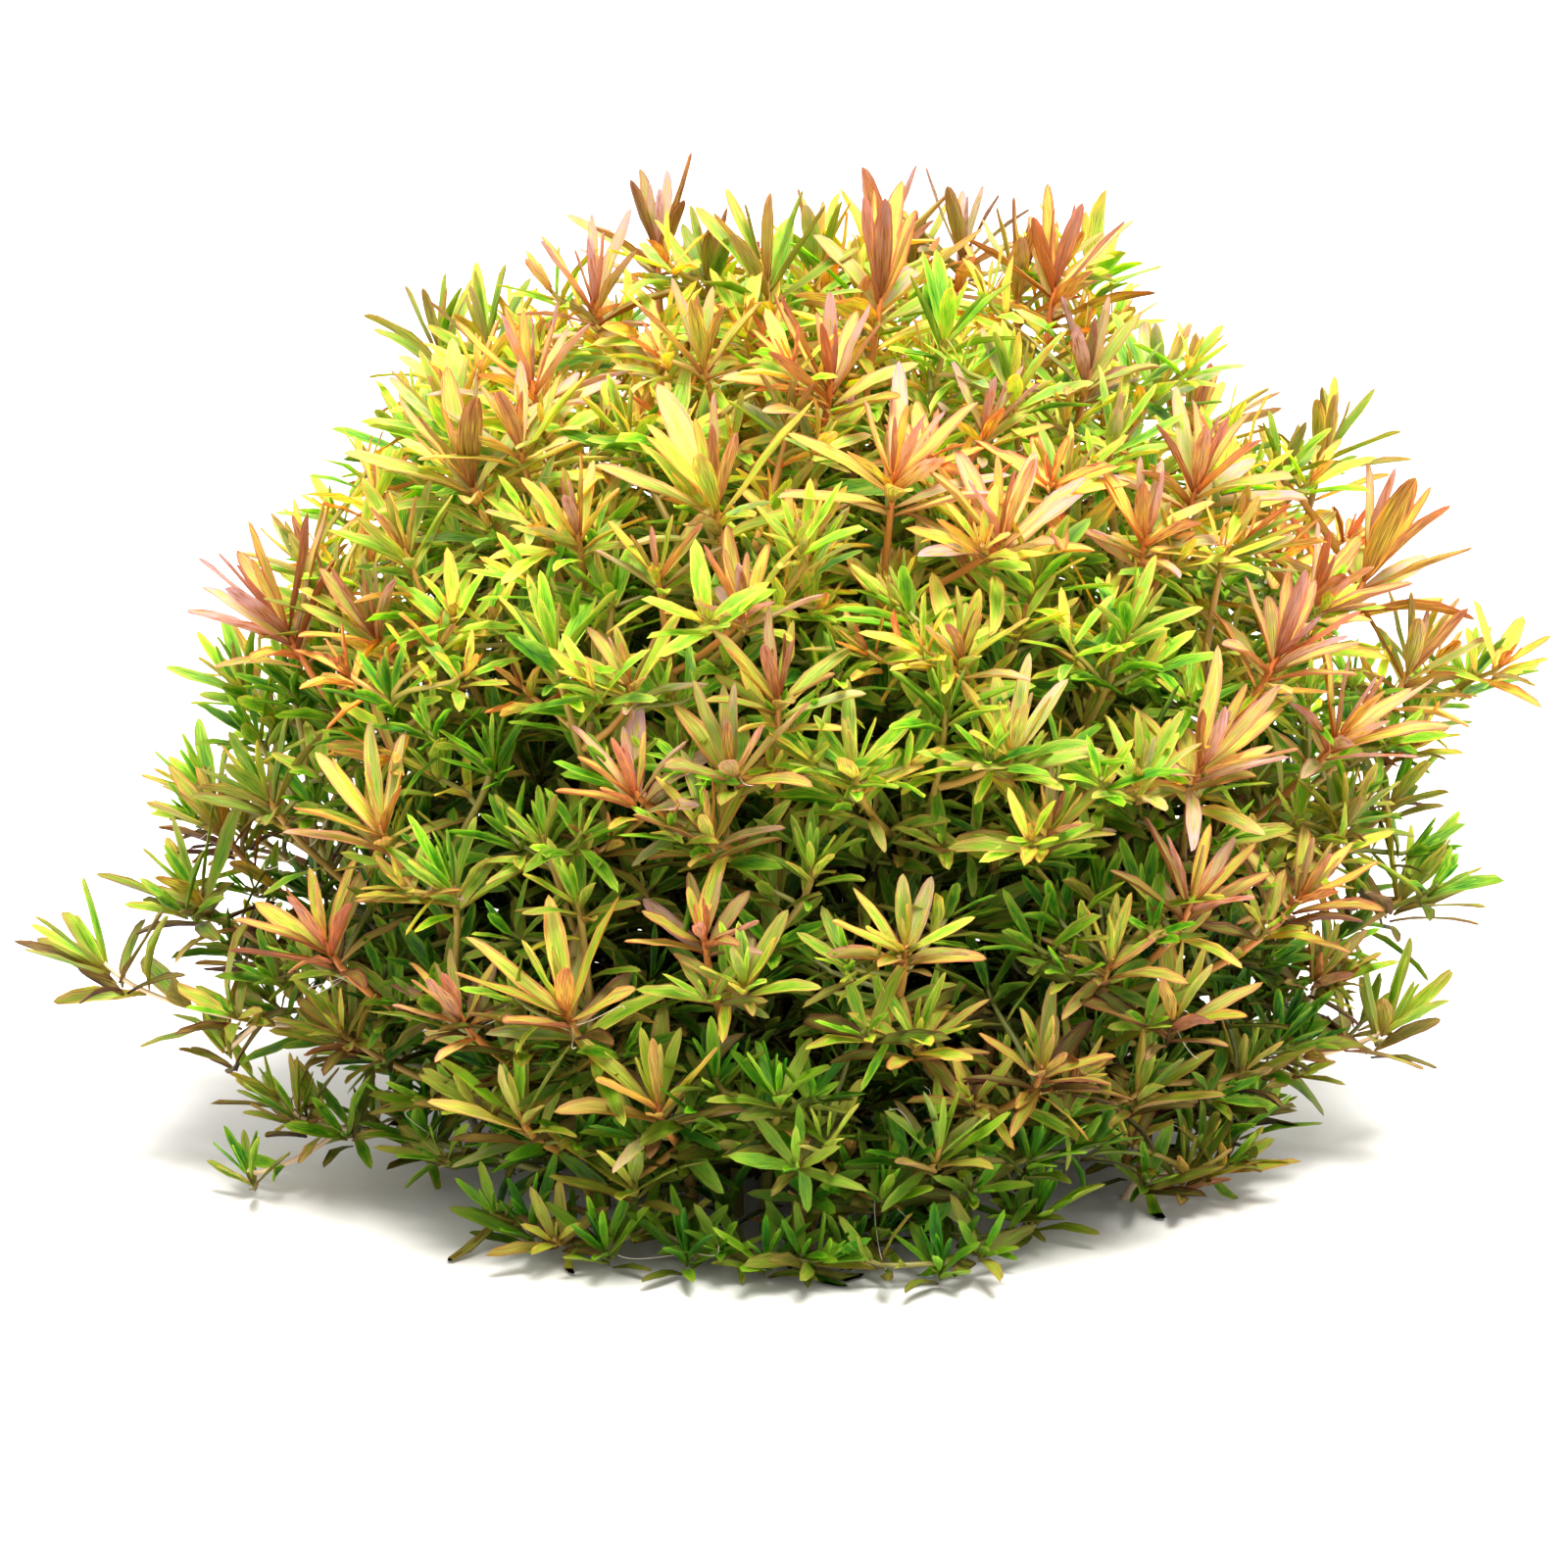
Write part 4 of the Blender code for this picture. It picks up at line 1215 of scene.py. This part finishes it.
def makeLeafMaterial(name, finish, tint):
    material, tree, surface = newMaterial(name)
    tinted = newNode(tree, "ShaderNodeGroup", node_tree=tint)
    for socket, value in zip(tinted.inputs, finish):
        socket.default_value = value
    tinted = tinted.outputs
    normal = addBump(tree, leafGloss["bump"], leafGloss["bumpDepth"], tinted["Height"])
    tree.links.new(tinted["Color"], surface["Base Color"])
    tree.links.new(tinted["Roughness"], surface["Roughness"])
    tree.links.new(normal, surface["Normal"])
    surface["Specular IOR Level"].default_value = leafGloss["specular"]
    through = addNode(tree, "ShaderNodeBsdfTranslucent", tinted["Glow"], normal)
    both = addNode(tree, "ShaderNodeMixShader", leafGloss["translucency"],
                   tree.nodes["Principled BSDF"].outputs["BSDF"], through)
    tree.links.new(both, tree.nodes["Material Output"].inputs["Surface"])
    return material


stemColours = [
    (0.00, (70, 92, 34)),
    (0.30, (112, 112, 42)),
    (0.50, (168, 126, 56)),
    (0.70, (186, 96, 48)),
    (0.85, (168, 66, 40)),
    (1.00, (150, 44, 32)),
]
stemFinish = {
    "pale": paint(222, 206, 190),
    "grain": 900.0,  # noise scales, in cells a metre
    "patches": 160.0,
    "patchWarmth": 0.5,
    "grainLight": (0.6, 0.7),  # a slope and an offset
    "roughness": 0.38,
    "bump": 0.4,
    "bumpDepth": 0.0002,
}


def makeStemMaterial():
    material, tree, surface = newMaterial("stemSkin")
    where = newNode(tree, "ShaderNodeTexCoord").outputs["Object"]
    grain = addNode(tree, "ShaderNodeTexNoise", where, None, stemFinish["grain"], 3.0, 0.6)
    patches = addNode(tree, "ShaderNodeTexNoise", where, None, stemFinish["patches"], 2.0, 0.5)
    plus, minus, times, timesPlus = sumsFor(tree)
    patches = minus(patches, 0.5)
    warmth = timesPlus(patches, stemFinish["patchWarmth"], attribute(tree, "warmth"))
    colour = mixColour(tree, attribute(tree, "blush"), ramp(tree, warmth, stemColours),
                       stemFinish["pale"])
    # The shade attribute holds the stem's own tone with painted light and shade from where it grows
    light = times(timesPlus(grain, *stemFinish["grainLight"]), attribute(tree, "shade"))
    tree.links.new(mixColour(tree, 1.0, colour, light, "MULTIPLY"), surface["Base Color"])
    tree.links.new(addBump(tree, stemFinish["bump"], stemFinish["bumpDepth"], grain),
                   surface["Normal"])
    surface["Roughness"].default_value = stemFinish["roughness"]
    return material


# Puts what has grown into a mesh of loose leaf points and stem lines
def makeCarrier(name, growth):
    leaves, stems = growth["leaves"], growth["stems"]
    points = [leaf["leafBase"] for leaf in leaves]
    edges = []
    for stem in stems:
        first = len(points)
        points += stem["points"]
        edges += [(index, index + 1) for index in range(first, len(points) - 1)]
    mesh = bpy.data.meshes.new(name)
    mesh.from_pydata(points, edges, [])
    rest = len(points) - len(leaves)

    def store(key, kind, values, number=np.float32):
        made = mesh.attributes.new(key, kind, "POINT")
        field = "vector" if kind == "FLOAT_VECTOR" else "value"
        made.data.foreach_set(field, np.array(values, number).ravel())

    for key in ("leafBase", "leafAlong", "leafFace"):
        store(key, "FLOAT_VECTOR", [tuple(leaf[key]) for leaf in leaves] + [(0.0, 0.0, 0.0)] * rest)
    for key in ("leafLength", "leafWidth", "leafFold", "leafArch", "leafTwist", "leafSway",
                "leafSeed"):
        store(key, "FLOAT", [leaf[key] for leaf in leaves] + [0.5] * rest)
    store("leafForm", "INT", [leaf["leafForm"] for leaf in leaves] + [0] * rest, np.int32)
    for key in ("warmth", "shade", "blush", "stemRadius"):
        values = [leaf.get(key, 0.0) for leaf in leaves]
        for stem in stems:
            values += stem[key]
        store(key, "FLOAT", values)
    store("isStem", "BOOLEAN", [False] * len(leaves) + [True] * rest, bool)
    return newObject(name, mesh)


slots = {
    "top": "warm", "upper": "warm", "left": "olive", "right": "olive", "middle": "olive",
    "back": "olive", "low": "green", "trailing": "green",
}
shootValues = {
    "Leaf Thickness": leafShape["thickness"],
    "Edge Wave": 0.16,
    "Stem Sides": 7,
    "Ground Gap": 0.0006,
}
keptMarks = {"across", "along", "under", "leafSeed", "warmth", "shade", "blush", "sharp_edge",
             "sharp_face", "material_index"}


def finishShoot(shoot, growth, tree, sockets, forms, materials):
    slot = slots[shoot["zone"]]
    leaf = "olive" if shoot["zone"] == "trailing" else slot
    carrier = makeCarrier(shoot["name"] + "_growth", growth)
    nodes = carrier.modifiers.new("growth", "NODES")
    nodes.node_group = tree
    given = {"Leaf Forms": forms, "Leaf Material": materials[leaf],
             "Stem Material": materials["stem"], **shootValues}
    for name, value in given.items():
        nodes[sockets[name]] = value
    ready = carrier.evaluated_get(bpy.context.evaluated_depsgraph_get())
    mesh = bpy.data.meshes.new_from_object(ready)
    mesh.name = shoot["name"] + "_leaves"
    piece = newObject(mesh.name, mesh)
    bpy.data.objects.remove(carrier)
    for key in [item.name for item in mesh.attributes]:
        mark = mesh.attributes.get(key)
        if mark and not (key in keptMarks or mark.is_internal or mark.is_required):
            mesh.attributes.remove(mark)
    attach(piece, "root")
    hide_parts(shoot["name"])
    mesh.calc_loop_triangles()
    return len(mesh.loop_triangles)


shoots = makeNearShoots()
takenSpots = [crown["point"] for shoot in shoots for crown in shoot["crowns"]]
shoots += makeFarShoots(takenSpots, len(shoots))
plantFeet(shoots)
for shoot in shoots:
    routeShoot(shoot)
shareTwigs(shoots)
print("stems routed, twigs", sum(len(shoot["twigs"]) for shoot in shoots))

formHome = bpy.data.collections.new("leafForms")
for name, (stations, fine) in leafForms.items():
    makeLeafForm(name, stations, fine, formHome)
shootTree, shootSockets = makeShootTree()
leafTint = makeLeafTint()
materials = {name: makeLeafMaterial(name + "Leaf", finish, leafTint)
             for name, finish in leafFinish.items()}
materials["stem"] = makeStemMaterial()
print("leaf forms and materials ready")

leafTotal = 0
triangles = []
for shoot in shoots:
    growth = dressShoot(shoot)
    triangles.append(finishShoot(shoot, growth, shootTree, shootSockets, formHome, materials))
    leafTotal += len(growth["leaves"])
for form in list(formHome.objects):
    bpy.data.objects.remove(form)
bpy.data.collections.remove(formHome)
print("leaves", leafTotal, "triangles", sum(triangles), "most in one shoot", max(triangles))


# Floor, light and camera
floorLook = {"half": 6.0, "colour": paint(246, 244, 240), "roughness": 0.8}
lampLook = {"place": Vector((0.15, -0.45, 1.0)), "angle": math.radians(26.0), "power": 6.6,
            "tint": (1.0, 0.985, 0.95)}
skyLook = {"Color": (1.0, 1.0, 1.0, 1.0), "Strength": 1.05}


def facing(direction):
    return direction.to_track_quat("-Z", "Y").to_euler()


half = floorLook["half"]
floorMesh = bpy.data.meshes.new("floor")
floorMesh.from_pydata([(-half, -half, 0), (half, -half, 0), (half, half, 0), (-half, half, 0)],
                      [], [(0, 1, 2, 3)])
floorMaterial, _, floorSurface = newMaterial("paleFloor")
floorSurface["Base Color"].default_value = floorLook["colour"]
floorSurface["Roughness"].default_value = floorLook["roughness"]
floorMesh.materials.append(floorMaterial)
newObject("floor", floorMesh)

sun = bpy.data.lights.new("topSun", "SUN")
sun.angle = lampLook["angle"]
sun.energy = lampLook["power"]
sun.color = lampLook["tint"]
lamp = newObject("topSun", sun)
lamp.location = lampLook["place"]
lamp.rotation_euler = facing(-lampLook["place"])

world = bpy.data.worlds.new("studio")
world.use_nodes = True
for name, value in skyLook.items():
    world.node_tree.nodes["Background"].inputs[name].default_value = value
bpy.context.scene.world = world
bpy.context.scene.view_settings.view_transform = "Standard"

optics = bpy.data.cameras.new("camera")
optics.sensor_width = view["sensor"]
optics.lens = view["sensor"] * view["distance"] / view["width"]
camera = newObject("camera", optics)
sight = Vector((0.0, math.cos(view["rise"]), -math.sin(view["rise"])))
camera.location = Vector((0.0, 0.0, view["aimHeight"])) - sight * view["distance"]
camera.rotation_euler = facing(sight)
bpy.context.scene.camera = camera
print("studio ready")
